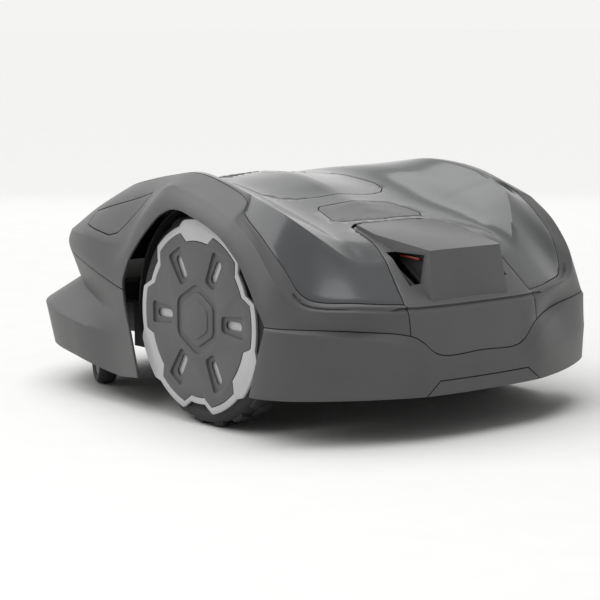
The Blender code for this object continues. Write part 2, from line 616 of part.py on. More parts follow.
console = prism("control_panel", mirrored(CONSOLE_OUTLINE), LID_TOP + GAP, CONSOLE_TOP, "black_plastic")
cut(console, block("screen", (-.030, -.010, CONSOLE_TOP - .002), (.030, .030, 1)))
for x in (-.03, -.01, .01, .03):
    for y in (-.06, -.04, -.024):
        join(console,
             block("key", (x - .006, y - .005, CONSOLE_TOP - .001), (x + .006, y + .005, CONSOLE_TOP + .0015)))

# Rubber feet that the floating cover rides on: they hang from the cover and slide on the lid.
FOOT_RADIUS = 0.009
FOOT_PLACES = {"front_left": (.070, -.150), "front_right": (-.070, -.150),
               "rear_left": (.092, .180), "rear_right": (-.092, .180)}


def underside(targets, x, y, radius):
    """Height of the lowest skin point over a round spot."""
    lowest = HIGH
    for target in targets:
        tree = BVHTree.FromObject(target, bpy.context.evaluated_depsgraph_get())
        for reach in (0, radius / 2, radius):
            for k in range(12):
                angle = 2 * math.pi * k / 12
                start = Vector((x + reach * math.cos(angle), y + reach * math.sin(angle), LID_TOP))
                hit = tree.ray_cast(start, Vector((0, 0, 1)))[0]
                if hit:
                    lowest = min(lowest, hit.z)
    return lowest


for foot_name, (x, y) in FOOT_PLACES.items():
    top = underside((top_cover, outer_shell, hatch), x, y, FOOT_RADIUS) - GAP
    low = LID_TOP + GAP
    waist = (low + top) / 2
    profile = [(0, low), (FOOT_RADIUS, low), (FOOT_RADIUS, low + .006), (FOOT_RADIUS * .7, waist),
               (FOOT_RADIUS, top - .006), (FOOT_RADIUS, top), (0, top)]
    placed(turned("cover_mount_" + foot_name, profile, "tyre_rubber", 20, "Z"), (x, y, 0))

# ---------------------------------------------------------------- drive wheels
TREAD_SIDES = 40
RING_THICK = 0.004
SLOT_COUNT = 6
HUB_RADIUS = 0.030


def ring_radius(angle, plain, pad, jog):
    """Pads at 90, 210 and 330 degrees and inward jogs half way between them."""
    from_pad = abs((angle - 90 + 60) % 120 - 60)
    if from_pad < 13:
        return pad
    if from_pad < 18:
        return pad + (plain - pad) * (from_pad - 13) / 5
    if from_pad < 45:
        return plain
    if from_pad < 52:
        return plain + (jog - plain) * (from_pad - 45) / 7
    return jog


def polar(radius_at, step=6):
    return [(radius_at(a) * math.cos(math.radians(a)), radius_at(a) * math.sin(math.radians(a)))
            for a in range(0, 360, step)]


def drive_tyre(name):
    half = TYRE_WIDTH / 2
    profile = [(TYRE_BEAD, -half + .003), (TYRE_RADIUS - .012, -half), (TYRE_RADIUS, -half + .008),
               (TYRE_RADIUS, 0), (TYRE_RADIUS, half - .008), (TYRE_RADIUS - .012, half), (TYRE_BEAD, half - .003)]
    tyre = turned(name, profile, "tyre_rubber", TREAD_SIDES)
    shape = bmesh.new()
    shape.from_mesh(tyre.data)
    for row, low, high in ((0, -half + .008, 0), (1, 0, half - .008)):
        chosen = []
        for face in shape.faces:
            centre = face.calc_center_median()
            flat = abs(math.hypot(centre.y, centre.z) - TYRE_RADIUS) < 0.001
            if flat and low - 1e-4 < centre.x < high + 1e-4 and face.calc_area() > 1e-5:
                turn = math.degrees(math.atan2(centre.z, centre.y)) % 360
                if (round(turn / (360 / TREAD_SIDES)) + row) % 2 == 0:
                    chosen.append(face)
        for face in chosen:
            made = bmesh.ops.extrude_discrete_faces(shape, faces=[face])["faces"][0]
            for vertex in made.verts:
                outward = Vector((0, vertex.co.y, vertex.co.z)).normalized()
                vertex.co += outward * LUG
                vertex.co.x += (made.calc_center_median().x - vertex.co.x) * 0.12
    shape.to_mesh(tyre.data)
    shape.free()
    return tyre


def drive_wheel(side_name, side):
    """The wheel is built with its outer face towards +X and turned round for the right side."""
    centre_x = TYRE_FACE_X - TYRE_WIDTH / 2
    turn = None if side > 0 else (0, 0, math.pi)
    place = (side * centre_x, AXLE_Y, AXLE_Z)
    placed(drive_tyre("tyre_" + side_name), place, turn)
    face = TYRE_WIDTH / 2
    core = TYRE_BEAD - GAP
    rim = turned("rim_" + side_name, [(SHAFT_RADIUS + GAP, -face + .018), (core, -face + .004), (core, face),
                                      (core - .005, face), (core - .005, face - .022),
                                      (SHAFT_RADIUS + GAP, face - .022)], "hub_grey", TREAD_SIDES)
    placed(rim, place, turn)
    ring = prism("wheel_ring_" + side_name, polar(lambda a: ring_radius(a, .1095, .1150, .0975)),
                 face + GAP, face + GAP + RING_THICK, "silver", axis="X")
    cut(ring, prism("inside", polar(lambda a: ring_radius(a, .1015, .0900, .0900)), -1, 1, axis="X"))
    placed(ring, place, turn)
    cap = prism("wheel_cap_" + side_name,
                polar(lambda a: ring_radius(a, .1015, .0900, .0900) - 2 * GAP), face + GAP, face + .0045, "hub_grey",
                axis="X")
    for i in range(SLOT_COUNT):
        angle = 2 * math.pi * i / SLOT_COUNT
        slot = block("slot", (-1, .056, -.0052), (1, .078, .0052))
        slot.data.transform(Matrix.Rotation(angle, 4, "X"))
        cut(cap, slot)
    cut(cap, cylinder("dish", HUB_RADIUS + .012, face + .002, 1, axis="X", sides=6))
    join(cap, cylinder("hub", HUB_RADIUS - .004, face + .001, face + .006, axis="X", sides=6))
    placed(cap, place, turn)
    shaft_inner = CHASSIS_HALF + MOTOR_REACH - .014
    shaft = turned("drive_shaft_" + side_name,
                   [(0, shaft_inner), (SHAFT_RADIUS, shaft_inner), (SHAFT_RADIUS, TYRE_FACE_X - .0016),
                    (0, TYRE_FACE_X - .0016)], "steel", 24)
    shaft.data.transform(Matrix.Translation((-centre_x, 0, 0)))
    placed(shaft, place, turn)


def wheel_motor(side_name, side):
    low, high = CHASSIS_HALF + GAP, CHASSIS_HALF + MOTOR_REACH
    motor = turned("wheel_motor_" + side_name,
                   [(0, low), (MOTOR_RADIUS, low), (MOTOR_RADIUS, high - .012), (MOTOR_RADIUS - .012, high - .006),
                    (SHAFT_RADIUS + RUNNING, high), (SHAFT_RADIUS + RUNNING, high - .016), (0, high - .016)],
                   "black_plastic", 32)
    placed(motor, (0, AXLE_Y, AXLE_Z), None if side > 0 else (0, 0, math.pi))


def wheel_liner(side_name, side):
    """Black inner arch over the wheel, with a side wall round the motor."""
    inner_radius, wall = TYRE_RADIUS + LUG + .008, .0025
    start, end, steps = -14, 194, 26
    angles = [math.radians(start + (end - start) * k / steps) for k in range(steps + 1)]
    arc = [(inner_radius + wall, a) for a in angles] + [(inner_radius, a) for a in reversed(angles)]
    band = [(AXLE_Y + r * math.cos(a), AXLE_Z + r * math.sin(a)) for r, a in arc]
    disc = [(AXLE_Y + (inner_radius + wall) * math.cos(a), AXLE_Z + (inner_radius + wall) * math.sin(a))
            for a in angles]
    low, high = sorted((side * .1725, side * .222))
    liner = prism("wheel_liner_" + side_name, band, low, high, "black_plastic", axis="X")
    low, high = sorted((side * .1708, side * .1730))
    join(liner, prism("wall", disc, low, high, axis="X"))
    cut(liner, cylinder("eye", MOTOR_RADIUS + .006, -1, 1, centre=(AXLE_Y, AXLE_Z), axis="X", sides=32))
    cut(liner, block("foot", (-1, AXLE_Y - .046, 0), (1, AXLE_Y + .046, AXLE_Z)))


for side_name, side in SIDES.items():
    drive_wheel(side_name, side)
    wheel_motor(side_name, side)
    wheel_liner(side_name, side)

# ---------------------------------------------------------------- casters
FORK_TOP = BOSS_LOW - RUNNING
FORK_BRIDGE = 0.006
FORK_LEG = 0.004
SIDE_PLAY = 0.0010
TYRE_INNER = 0.025


def caster(side_name, side):
    """The fork is built with its stem on the Z axis and its wheel trailing towards +Y."""
    half = CASTER_WIDTH / 2 + SIDE_PLAY
    bottom = FORK_TOP - FORK_BRIDGE
    wheel_at = (CASTER_TRAIL, CASTER_RADIUS)
    leg = [(-.012, FORK_TOP), (.014, FORK_TOP), (CASTER_TRAIL + .010, CASTER_RADIUS + .004),
           (CASTER_TRAIL + .007, CASTER_RADIUS - .009), (CASTER_TRAIL - .007, CASTER_RADIUS - .009),
           (CASTER_TRAIL - .013, CASTER_RADIUS + .012), (-.012, bottom)]
    fork = block("caster_fork_" + side_name, (-half - FORK_LEG, -.014, bottom), (half + FORK_LEG, .018, FORK_TOP),
                 "black_plastic")
    for cheek in (-1, 1):
        low, high = sorted((cheek * half, cheek * (half + FORK_LEG)))
        join(fork, prism("leg", leg, low, high, axis="X"))
    join(fork, cylinder("stem", STEM_RADIUS, FORK_TOP - .002, BOSS_HIGH - .004, sides=24))
    cut(fork, cylinder("eye", CASTER_PIN + GAP, -1, 1, centre=wheel_at, axis="X", sides=20))
    reach = CASTER_WIDTH / 2
    tyre = turned("caster_tyre_" + side_name,
                  [(TYRE_INNER, -reach + .002), (CASTER_RADIUS - .004, -reach), (CASTER_RADIUS, -reach + .006),
                   (CASTER_RADIUS, reach - .006), (CASTER_RADIUS - .004, reach), (TYRE_INNER, reach - .002)],
                  "tyre_rubber", 32)
    hub = turned("caster_hub_" + side_name,
                 [(CASTER_PIN + RUNNING, -reach), (.010, -reach), (.012, -reach + .004),
                  (TYRE_INNER - GAP, -reach + .003), (TYRE_INNER - GAP, reach - .003),
                  (.012, reach - .004), (.010, reach), (CASTER_PIN + RUNNING, reach)],
                 "hub_grey", 32)
    length = half + FORK_LEG + .001
    pin = turned("caster_pin_" + side_name, [(0, -length), (CASTER_PIN, -length), (CASTER_PIN, length), (0, length)],
                 "steel", 20)
    turn = CASTER_STEER * side
    offset = Matrix.Rotation(turn, 3, "Z") @ Vector((0, CASTER_TRAIL, 0))
    for wheel_piece in (tyre, hub, pin):
        placed(wheel_piece, (side * CASTER_X + offset.x, CASTER_Y + offset.y, CASTER_RADIUS), (0, 0, turn))
    placed(fork, (side * CASTER_X, CASTER_Y, 0), (0, 0, turn))


for side_name, side in SIDES.items():
    caster(side_name, side)

# ---------------------------------------------------------------- cutting deck
MOTOR_LOW = CUT_HEIGHT + 0.011
HUB = 0.016
cutting_motor = turned("cutting_motor", [
    (0, MOTOR_LOW), (CUT_MOTOR_RADIUS, MOTOR_LOW), (CUT_MOTOR_RADIUS, .125), (CUT_MOTOR_RADIUS - .010, .140),
    (0, .140)], "black_plastic", 48, "Z")
placed(cutting_motor, (0, CUT_Y, 0))
disc_low = CUT_HEIGHT - DISC_THICK
blade_disc = turned("blade_disc", [
    (0, disc_low), (DISC_RADIUS, disc_low), (DISC_RADIUS, CUT_HEIGHT), (HUB + .006, CUT_HEIGHT),
    (HUB, MOTOR_LOW - RUNNING), (0, MOTOR_LOW - RUNNING)], "steel", 48, "Z")
placed(blade_disc, (0, CUT_Y, 0))
PIVOT_RADIUS = 0.092
BLADE_TOP = disc_low - 0.0005
SCREW, SCREW_HEAD = 0.0027, 0.0050
for i in range(BLADE_COUNT):
    angle = 2 * math.pi * i / BLADE_COUNT + math.radians(20)
    pivot = Vector((PIVOT_RADIUS * math.cos(angle), PIVOT_RADIUS * math.sin(angle) + CUT_Y, 0))
    outline = rounded([(-.008, -BLADE_WIDTH / 2), (BLADE_LENGTH - .008, -BLADE_WIDTH / 2),
                       (BLADE_LENGTH - .008, BLADE_WIDTH / 2), (-.008, BLADE_WIDTH / 2)], .004, 2)
    blade = prism("blade_%d" % (i + 1), outline, BLADE_TOP - BLADE_THICK, BLADE_TOP, "steel")
    cut(blade, cylinder("eye", SCREW + RUNNING, -1, 1, sides=16))
    placed(blade, pivot, (0, 0, angle))
    head_top = BLADE_TOP - BLADE_THICK - GAP
    screw_profile = [(0, head_top - .0018), (SCREW_HEAD, head_top - .0018), (SCREW_HEAD, head_top),
                     (SCREW, head_top), (SCREW, disc_low - GAP), (0, disc_low - GAP)]
    screw = turned("blade_screw_%d" % (i + 1), screw_profile, "steel", 16, "Z")
    placed(screw, pivot)
SKID_LOW, SKID_THICK = 0.0245, 0.0025
skid_plate = turned("skid_plate", [
    (0, SKID_LOW), (SKID_RADIUS - .006, SKID_LOW), (SKID_RADIUS, SKID_LOW + SKID_THICK), (.016, SKID_LOW + SKID_THICK),
    (.012, disc_low - GAP), (0, disc_low - GAP)], "black_plastic", 40, "Z")
placed(skid_plate, (0, CUT_Y, 0))

# ---------------------------------------------------------------- charging contacts, on the tray's nose
CONTACT_TOP = 0.100
for side_name, side in SIDES.items():
    low, high = sorted((side * .020, side * .060))
    front = -0.270 - GAP
    block("charge_contact_" + side_name, (low, front - .002, CONTACT_TOP - .014), (high, front, CONTACT_TOP), "brass")

for made in bpy.data.objects:
    if made.type == "MESH":
        made.data.shade_smooth()
        made.data.set_sharp_from_angle(angle=math.radians(35))
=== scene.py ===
# %% [markdown]
# # A robotic lawn mower, shell by shell
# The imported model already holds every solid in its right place.  This script dresses it: the big
# moulded skins are made again from the same guide curves with many more faces, the wheels, casters,
# vents and lamps get their small detail, and every surface gets a material with its own grain.
# The mower drives towards -Y, its left side is +X, and the ground is z = 0.  All lengths are metres.

# %% Load the frame
import json
import math

import bmesh
import bpy
import numpy as np
from mathutils import Matrix, Vector


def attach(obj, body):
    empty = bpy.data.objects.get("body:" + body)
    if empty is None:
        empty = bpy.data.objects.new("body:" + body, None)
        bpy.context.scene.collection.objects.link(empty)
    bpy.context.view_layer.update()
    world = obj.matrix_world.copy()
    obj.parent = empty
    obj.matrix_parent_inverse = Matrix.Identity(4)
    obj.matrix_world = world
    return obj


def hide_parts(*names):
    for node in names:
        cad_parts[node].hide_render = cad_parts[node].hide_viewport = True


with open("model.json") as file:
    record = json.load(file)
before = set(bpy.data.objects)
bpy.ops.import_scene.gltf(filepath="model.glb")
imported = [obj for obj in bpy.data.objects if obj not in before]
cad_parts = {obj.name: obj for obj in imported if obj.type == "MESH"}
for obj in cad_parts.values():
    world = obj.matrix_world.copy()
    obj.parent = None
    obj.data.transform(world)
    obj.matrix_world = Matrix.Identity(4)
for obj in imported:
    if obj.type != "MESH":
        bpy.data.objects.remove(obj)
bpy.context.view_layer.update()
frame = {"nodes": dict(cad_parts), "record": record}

# %% [markdown]
# ## Camera, light and floor
# The camera stands low behind the left rear wheel and looks through a long lens.

# %% Camera
camera_data = bpy.data.cameras.new("camera")
camera_data.sensor_width = 36.0
camera_data.lens = 115.74
camera = bpy.data.objects.new("camera", camera_data)
bpy.context.collection.objects.link(camera)
camera.location = (1.51439, 1.86064, 0.45990)
camera.rotation_euler = (math.radians(90 - 8.2014), 0, math.radians(140.872))
bpy.context.scene.camera = camera
bpy.context.scene.view_settings.view_transform = "Standard"
print("camera", tuple(round(v, 3) for v in camera.location))

# %% [markdown]
# A very wide sun stands in for a lit ceiling: it lights the floor evenly all the way out, which a
# nearby soft box wouldn't.  Soft boxes shape the front and the wheel, and one on the far side draws
# the long highlight on the covers.  Reflections see the same pale studio as the camera, while the
# surfaces themselves get only a weak fill from it.


# %% Lights
def soft_box(name, place, target, size, power):
    """A square light at a place, turned to face the target."""
    data = bpy.data.lights.new(name, "AREA")
    data.shape = "RECTANGLE"
    data.size, data.size_y = size
    data.energy = power
    made = bpy.data.objects.new(name, data)
    bpy.context.collection.objects.link(made)
    made.location = place
    made.rotation_euler = (Vector(target) - Vector(place)).to_track_quat("-Z", "Y").to_euler()
    return made


sky_data = bpy.data.lights.new("sky_light", "SUN")
sky_data.energy = 2.60
sky_data.angle = math.radians(75)
sky = bpy.data.objects.new("sky_light", sky_data)
bpy.context.collection.objects.link(sky)
sky.rotation_euler = (math.radians(13), math.radians(9), 0)
soft_box("front_left", (2.0, -1.6, 1.5), (0, -0.2, 0.15), (1.6, 1.2), 7)
soft_box("far_side", (-1.5, -1.9, 1.15), (0, 0, 0.2), (3.0, 1.6), 3.5)
soft_box("over_wheel", (1.5, 0.5, 1.3), (0.2, 0.1, 0.12), (0.6, 0.6), 4)

world = bpy.data.worlds.new("studio")
bpy.context.scene.world = world
world.use_nodes = True
nodes, links = world.node_tree.nodes, world.node_tree.links
nodes.clear()
out = nodes.new("ShaderNodeOutputWorld")
fill = nodes.new("ShaderNodeBackground")
fill.inputs["Color"].default_value = (1.0, 1.0, 1.0, 1)
fill.inputs["Strength"].default_value = 0.28
white = nodes.new("ShaderNodeBackground")
white.inputs["Color"].default_value = (0.905, 0.905, 0.890, 1)
white.inputs["Strength"].default_value = 1.0
path = nodes.new("ShaderNodeLightPath")
either = nodes.new("ShaderNodeMath")
either.operation = "MAXIMUM"
links.new(path.outputs["Is Camera Ray"], either.inputs[0])
links.new(path.outputs["Is Glossy Ray"], either.inputs[1])
any_ray = nodes.new("ShaderNodeMath")
any_ray.operation = "MAXIMUM"
links.new(either.outputs[0], any_ray.inputs[0])
links.new(path.outputs["Is Transmission Ray"], any_ray.inputs[1])
mix = nodes.new("ShaderNodeMixShader")
links.new(any_ray.outputs[0], mix.inputs[0])
links.new(fill.outputs[0], mix.inputs[1])
links.new(white.outputs[0], mix.inputs[2])
links.new(mix.outputs[0], out.inputs[0])

# %% [markdown]
# ## Materials
# Moulded plastic is never one flat colour: it has a fine spark-eroded grain, a faint cloudiness in
# its colour and patches that are a little smoother.  One recipe makes all of them, with the grain
# size, its height and the gloss set for each.


# %% Material recipes
def plastic(name, colour, rough, grain=1400, height=0.03, cloud=0.12, coat=0.0, metal=0.0, spread=0.06):
    """Moulded plastic: grain and height set the fine bump, cloud the colour, spread the gloss."""
    made = bpy.data.materials.new(name)
    made.use_nodes = True
    nodes, links = made.node_tree.nodes, made.node_tree.links
    shader = nodes["Principled BSDF"]
    shader.inputs["Metallic"].default_value = metal
    shader.inputs["Coat Weight"].default_value = coat
    shader.inputs["Coat Roughness"].default_value = 0.06
    place = nodes.new("ShaderNodeTexCoord")
    clouds = nodes.new("ShaderNodeTexNoise")
    clouds.inputs["Scale"].default_value = 18
    clouds.inputs["Detail"].default_value = 4
    links.new(place.outputs["Object"], clouds.inputs["Vector"])
    tint = nodes.new("ShaderNodeValToRGB")
    tint.color_ramp.elements[0].position = 0.3
    tint.color_ramp.elements[1].position = 0.7
    tint.color_ramp.elements[0].color = (*[c * (1 - cloud) for c in colour], 1)
    tint.color_ramp.elements[1].color = (*[c * (1 + cloud) for c in colour], 1)
    links.new(clouds.outputs["Fac"], tint.inputs["Fac"])
    links.new(tint.outputs["Color"], shader.inputs["Base Color"])
    patches = nodes.new("ShaderNodeMapRange")
    patches.inputs["To Min"].default_value = rough - spread
    patches.inputs["To Max"].default_value = rough + spread
    links.new(clouds.outputs["Fac"], patches.inputs["Value"])
    links.new(patches.outputs["Result"], shader.inputs["Roughness"])
    fine = nodes.new("ShaderNodeTexNoise")
    fine.inputs["Scale"].default_value = grain
    fine.inputs["Detail"].default_value = 2
    links.new(place.outputs["Object"], fine.inputs["Vector"])
    bump = nodes.new("ShaderNodeBump")
    bump.inputs["Strength"].default_value = height
    bump.inputs["Distance"].default_value = 0.001
    links.new(fine.outputs["Fac"], bump.inputs["Height"])
    links.new(bump.outputs["Normal"], shader.inputs["Normal"])
    return made


def brushed(name, colour, rough, stretch):
    """Metal with fine drawn lines along one direction."""
    made = plastic(name, colour, rough, 300, 0.05, 0.08, metal=1.0)
    nodes, links = made.node_tree.nodes, made.node_tree.links
    fine = next(n for n in nodes if n.type == "TEX_NOISE" and n.inputs["Scale"].default_value == 300)
    turn = nodes.new("ShaderNodeMapping")
    turn.inputs["Scale"].default_value = stretch
    links.new(nodes["Texture Coordinate"].outputs["Object"], turn.inputs["Vector"])
    links.new(turn.outputs["Vector"], fine.inputs["Vector"])
    return made


M = {
    "body_grey": plastic("body_grey", (0.068, 0.068, 0.069), 0.46, 1500, 0.10, 0.06),
    "gloss_grey": plastic("gloss_grey", (0.046, 0.048, 0.052), 0.20, 400, 0.004, 0.05, coat=0.15,
                          spread=0.03),
    "tail_grey": plastic("tail_grey", (0.078, 0.078, 0.079), 0.34, 1500, 0.10, 0.05),
    "black_plastic": plastic("black_plastic", (0.013, 0.013, 0.014), 0.55, 900, 0.10, 0.2),
    "tyre_rubber": plastic("tyre_rubber", (0.018, 0.018, 0.019), 0.72, 700, 0.22, 0.25),
    "silver": plastic("silver", (0.44, 0.44, 0.445), 0.36, 2200, 0.06, 0.04, metal=0.25),
    "hub_grey": plastic("hub_grey", (0.080, 0.080, 0.082), 0.45, 1400, 0.10, 0.07),
    "lamp_red": plastic("lamp_red", (0.22, 0.03, 0.022), 0.25, 500, 0.02, 0.15, coat=0.6),
    "steel": brushed("steel", (0.50, 0.50, 0.51), 0.36, (1, 12, 1)),
    "battery_blue": plastic("battery_blue", (0.030, 0.060, 0.140), 0.50, 900, 0.08, 0.1),
    "circuit_green": plastic("circuit_green", (0.020, 0.120, 0.050), 0.40, 300, 0.05, 0.25),
    "brass": brushed("brass", (0.60, 0.42, 0.15), 0.34, (12, 1, 1)),
}
for subpart in frame["record"]["subparts"]:
    solid = frame["nodes"][subpart["node"]]
    solid.data.materials.clear()
    solid.data.materials.append(M[subpart["material_slot"]])
print("materials", len(M))

# %% [markdown]
# The floor is one large pale sheet, so the mower keeps only its own soft contact shadow.

# %% Floor
bpy.ops.mesh.primitive_plane_add(size=160, location=(0, 0, 0))
floor = bpy.context.object
floor.name = "floor"
paper = plastic("floor_paper", (0.83, 0.83, 0.815), 0.95, 60, 0.0, 0.01)
paper.node_tree.nodes["Principled BSDF"].inputs["Specular IOR Level"].default_value = 0.0
floor.data.materials.append(paper)
print("floor", tuple(round(v) for v in floor.dimensions))

# %% [markdown]
# ## The guide curves of the body
# The whole moulded body hangs on twelve rails.  Each runs from the middle of the back, round the
# left side, to the middle of the front: the centre line, the valley in the back, the flank of the
# ridge, its crest, the seam of the gloss cover, and then the fender and the bumper down to the hem.
# A Subdivision Surface over a rough cage could do this too, but it pulls away from its cage, and the
# skins must lie exactly where the solids are.  So the rails are joined by cubic curves that pass
# through every point, and they break at the crests, where the moulding has a real edge.

# %% Rails
AXLE_Y, AXLE_Z = 0.1008, 0.124
WALL, SEAM, GAP = 0.0028, 0.0014, 0.0003
CENTRE = [
    (0, .060, .2280), (0, .056, .2285), (0, .050, .2295), (0, .042, .2320), (0, .033, .2350),
    (0, .024, .2385), (0, .014, .2420), (0, .004, .2455), (0, -.008, .2480), (0, -.030, .2535),
    (0, -.070, .2655), (0, -.120, .2735), (0, -.170, .2725), (0, -.220, .2655), (0, -.250, .2590),
    (0, -.270, .2545), (0, -.280, .2520), (0, -.285, .2510)]
VALLEY = [
    (0, .110, .2165), (.046, .108, .2170), (.084, .104, .2178), (.096, .094, .2195),
    (.099, .080, .2225), (.099, .064, .2262), (.098, .045, .2305), (.096, .026, .2350),
    (.095, .008, .2395), (.093, -.030, .2490), (.091, -.080, .2590), (.088, -.130, .2655),
    (.084, -.182, .2662), (.076, -.236, .2605), (.060, -.275, .2530), (.040, -.296, .2485),
    (.020, -.306, .2460), (0, -.309, .2453)]
FLANK = [
    (0, .135, .2105), (.054, .132, .2105), (.098, .129, .2100), (.116, .118, .2130),
    (.130, .099, .2245), (.141, .080, .2360), (.146, .058, .2450), (.147, .038, .2510),
    (.147, .020, .2565), (.146, -.020, .2660), (.141, -.070, .2738), (.135, -.125, .2752),
    (.125, -.185, .2710), (.110, -.246, .2615), (.086, -.295, .2500), (.058, -.318, .2440),
    (.030, -.328, .2410), (0, -.331, .2400)]
CREST = [
    (0, .158, .2000), (.060, .157, .1985), (.106, .155, .1930), (.130, .144, .1990),
    (.154, .116, .2240), (.174, .090, .2455), (.185, .070, .2575), (.188, .050, .2645),
    (.188, .034, .2695), (.1875, -.006, .2802), (.181, -.060, .2865), (.174, -.116, .2800),
    (.163, -.175, .2705), (.146, -.242, .2590), (.116, -.302, .2450), (.080, -.334, .2370),
    (.040, -.348, .2330), (0, -.352, .2318)]
SEAM_LINE = [
    (0, .206, .1515), (.060, .2045, .1515), (.098, .201, .1515), (.150, .183, .1555),
    (.198, .154, .1615), (.2125, .128, .1970), (.2160, .096, .2265), (.2145, .066, .2480),
    (.2000, .048, .2640), (.1975, -.004, .2800), (.189, -.062, .2858), (.182, -.120, .2788),
    (.170, -.180, .2690), (.152, -.248, .2570), (.121, -.309, .2425), (.084, -.342, .2340),
    (.042, -.356, .2298), (0, -.360, .2285)]
SHOULDER = [
    (0, .210, .1475), (.061, .2085, .1475), (.0985, .205, .1475), (.153, .187, .1515),
    (.203, .157, .1575), (.2205, .134, .1890), (.2245, .100, .2235), (.2240, .070, .2440),
    (.2180, .053, .2550), (.2155, -.002, .2740), (.208, -.062, .2800), (.202, -.112, .2700),
    (.197, -.165, .2500), (.188, -.250, .2360), (.156, -.328, .2200), (.108, -.372, .2080),
    (.054, -.388, .2030), (0, -.393, .2010)]
FENDER_EDGE = [
    (0, .214, .1425), (.0612, .2125, .1425), (.099, .209, .1425), (.156, .191, .1465),
    (.209, .161, .1525), (.2305, .142, .1780), (.2345, .110, .2150), (.2345, .078, .2380),
    (.2335, .058, .2480), (.2325, .000, .2655), (.230, -.058, .2730), (.2315, -.104, .2440),
    (.2320, -.152, .2000), (.2245, -.250, .2000), (.192, -.328, .1980), (.130, -.385, .1960),
    (.065, -.4035, .1950), (0, -.409, .1945)]
WIDEST = [
    (0, .2185, .1180), (.0610, .217, .1180), (.098, .2115, .1300), (.155, .187, .1360),
    (.213, .164, .1400), (.2430, .142, .1500), (.2485, .112, .1800), (.2505, .080, .2080),
    (.2510, .060, .2200), (.2510, .000, .2350), (.2480, -.058, .2400), (.2450, -.104, .2180),
    (.2390, -.160, .1720), (.2275, -.250, .1780), (.1965, -.328, .1860), (.1315, -.3885, .1880),
    (.0655, -.4075, .1885), (0, -.4125, .1885)]
BUMPER_SEAM = [
    (0, .224, .0940), (.0608, .2220, .0940), (.0968, .2136, .1171), (.154, .184, .1245),
    (.212, .166, .1300), (.2440, .148, .1330), (.2500, .110, .1340), (.2520, .080, .1350),
    (.2520, .060, .1350), (.2520, .000, .1360), (.2500, -.060, .1380), (.2450, -.110, .1410),
    (.2370, -.165, .1475), (.2260, -.250, .1665), (.1960, -.326, .1770), (.1310, -.386, .1800),
    (.0650, -.405, .1805), (0, -.410, .1805)]
WAIST = [
    (0, .2295, .0800), (.0660, .2265, .0800), (.1030, .2175, .1060), (.159, .190, .1180),
    (.2170, .169, .1260), (.2455, .149, .1300), (.2515, .110, .1310), (.2520, .080, .1320),
    (.2520, .060, .1320), (.2520, .000, .1320), (.2500, -.060, .1320), (.2450, -.110, .1250),
    (.2370, -.165, .1150), (.2060, -.262, .1230), (.1780, -.326, .1360), (.1180, -.372, .1420),
    (.0600, -.390, .1440), (0, -.394, .1440)]
LIP = [
    (0, .2325, .0650), (.0670, .2300, .0650), (.1060, .2230, .0790), (.1640, .200, .0860),
    (.2210, .1735, .0900), (.2475, .146, .0920), (.2520, .110, .0900), (.2520, .080, .0900),
    (.2520, .060, .0900), (.2520, .000, .0900), (.2500, -.060, .0900), (.2450, -.110, .0900),
    (.2385, -.165, .0850), (.2395, -.256, .0940), (.2140, -.358, .1040), (.1340, -.422, .1100),
    (.0670, -.4320, .1120), (0, -.4365, .1130)]
HEM = [
    (0, .2345, .0510), (.0680, .2320, .0510), (.1080, .2255, .0515), (.1660, .2040, .0525),
    (.2225, .1715, .0535), (.2480, .1400, .0540), (.2520, .110, .0540), (.2520, .080, .0540),
    (.2520, .060, .0540), (.2520, .000, .0500), (.2500, -.060, .0450), (.2450, -.110, .0420),
    (.2370, -.165, .0380), (.2350, -.250, .0480), (.2080, -.348, .0540), (.1300, -.410, .0580),
    (.0650, -.4240, .0590), (0, -.4280, .0595)]
RAILS = [CENTRE, VALLEY, FLANK, CREST, SEAM_LINE, SHOULDER, FENDER_EDGE, WIDEST, BUMPER_SEAM, WAIST,
         LIP, HEM]
CENTRE_ROW, CREST_ROW, SEAM_ROW, EDGE_ROW = 0, 3, 4, 6
BUMPER_ROW, WAIST_ROW, LIP_ROW, HEM_ROW = 8, 9, 10, 11
SHARP_ROWS = (CREST_ROW, EDGE_ROW, BUMPER_ROW, WAIST_ROW, LIP_ROW)
REAR_END_STATION, FRONT_END_STATION = 7, 10
LAST_STATION = len(CENTRE) - 1
ALONG, ACROSS = 8, 6
print("rails", len(RAILS), "stations", len(CENTRE))

# %% [markdown]
# The rails are drawn from the axle, so each point is first moved to its place.  Then the points are
# joined along each rail, and the rails are joined across at every step.


# %% Curves through the rails
MIRROR = np.array([-1.0, 1.0, 1.0])


def body_point(point):
    return (point[0], point[1] + AXLE_Y, point[2])


def hermite(before, start, end, after, t):
    tangent_in, tangent_out = (end - before) / 2, (after - start) / 2
    return ((2 * t ** 3 - 3 * t ** 2 + 1) * start + (t ** 3 - 2 * t ** 2 + t) * tangent_in
            + (3 * t ** 2 - 2 * t ** 3) * end + (t ** 3 - t ** 2) * tangent_out)


def along_stations(rail):
    padded = [rail[1] * MIRROR, *rail, rail[-2] * MIRROR]
    filled = []
    for i in range(1, len(padded) - 2):
        for k in range(ALONG):
            filled.append(hermite(*padded[i - 1:i + 3], k / ALONG))
    filled.append(rail[-1])
    return np.array(filled)


def across_rails(section):
    filled = []
    last = len(section) - 1
    for i in range(last):
        start, end = section[i], section[i + 1]
        before = section[i - 1] if i > 0 and i not in SHARP_ROWS else start
        after = section[i + 2] if i + 2 <= last and i + 1 not in SHARP_ROWS else end
        for k in range(ACROSS):
            filled.append(hermite(before, start, end, after, k / ACROSS))
    filled.append(section[-1])
    return filled


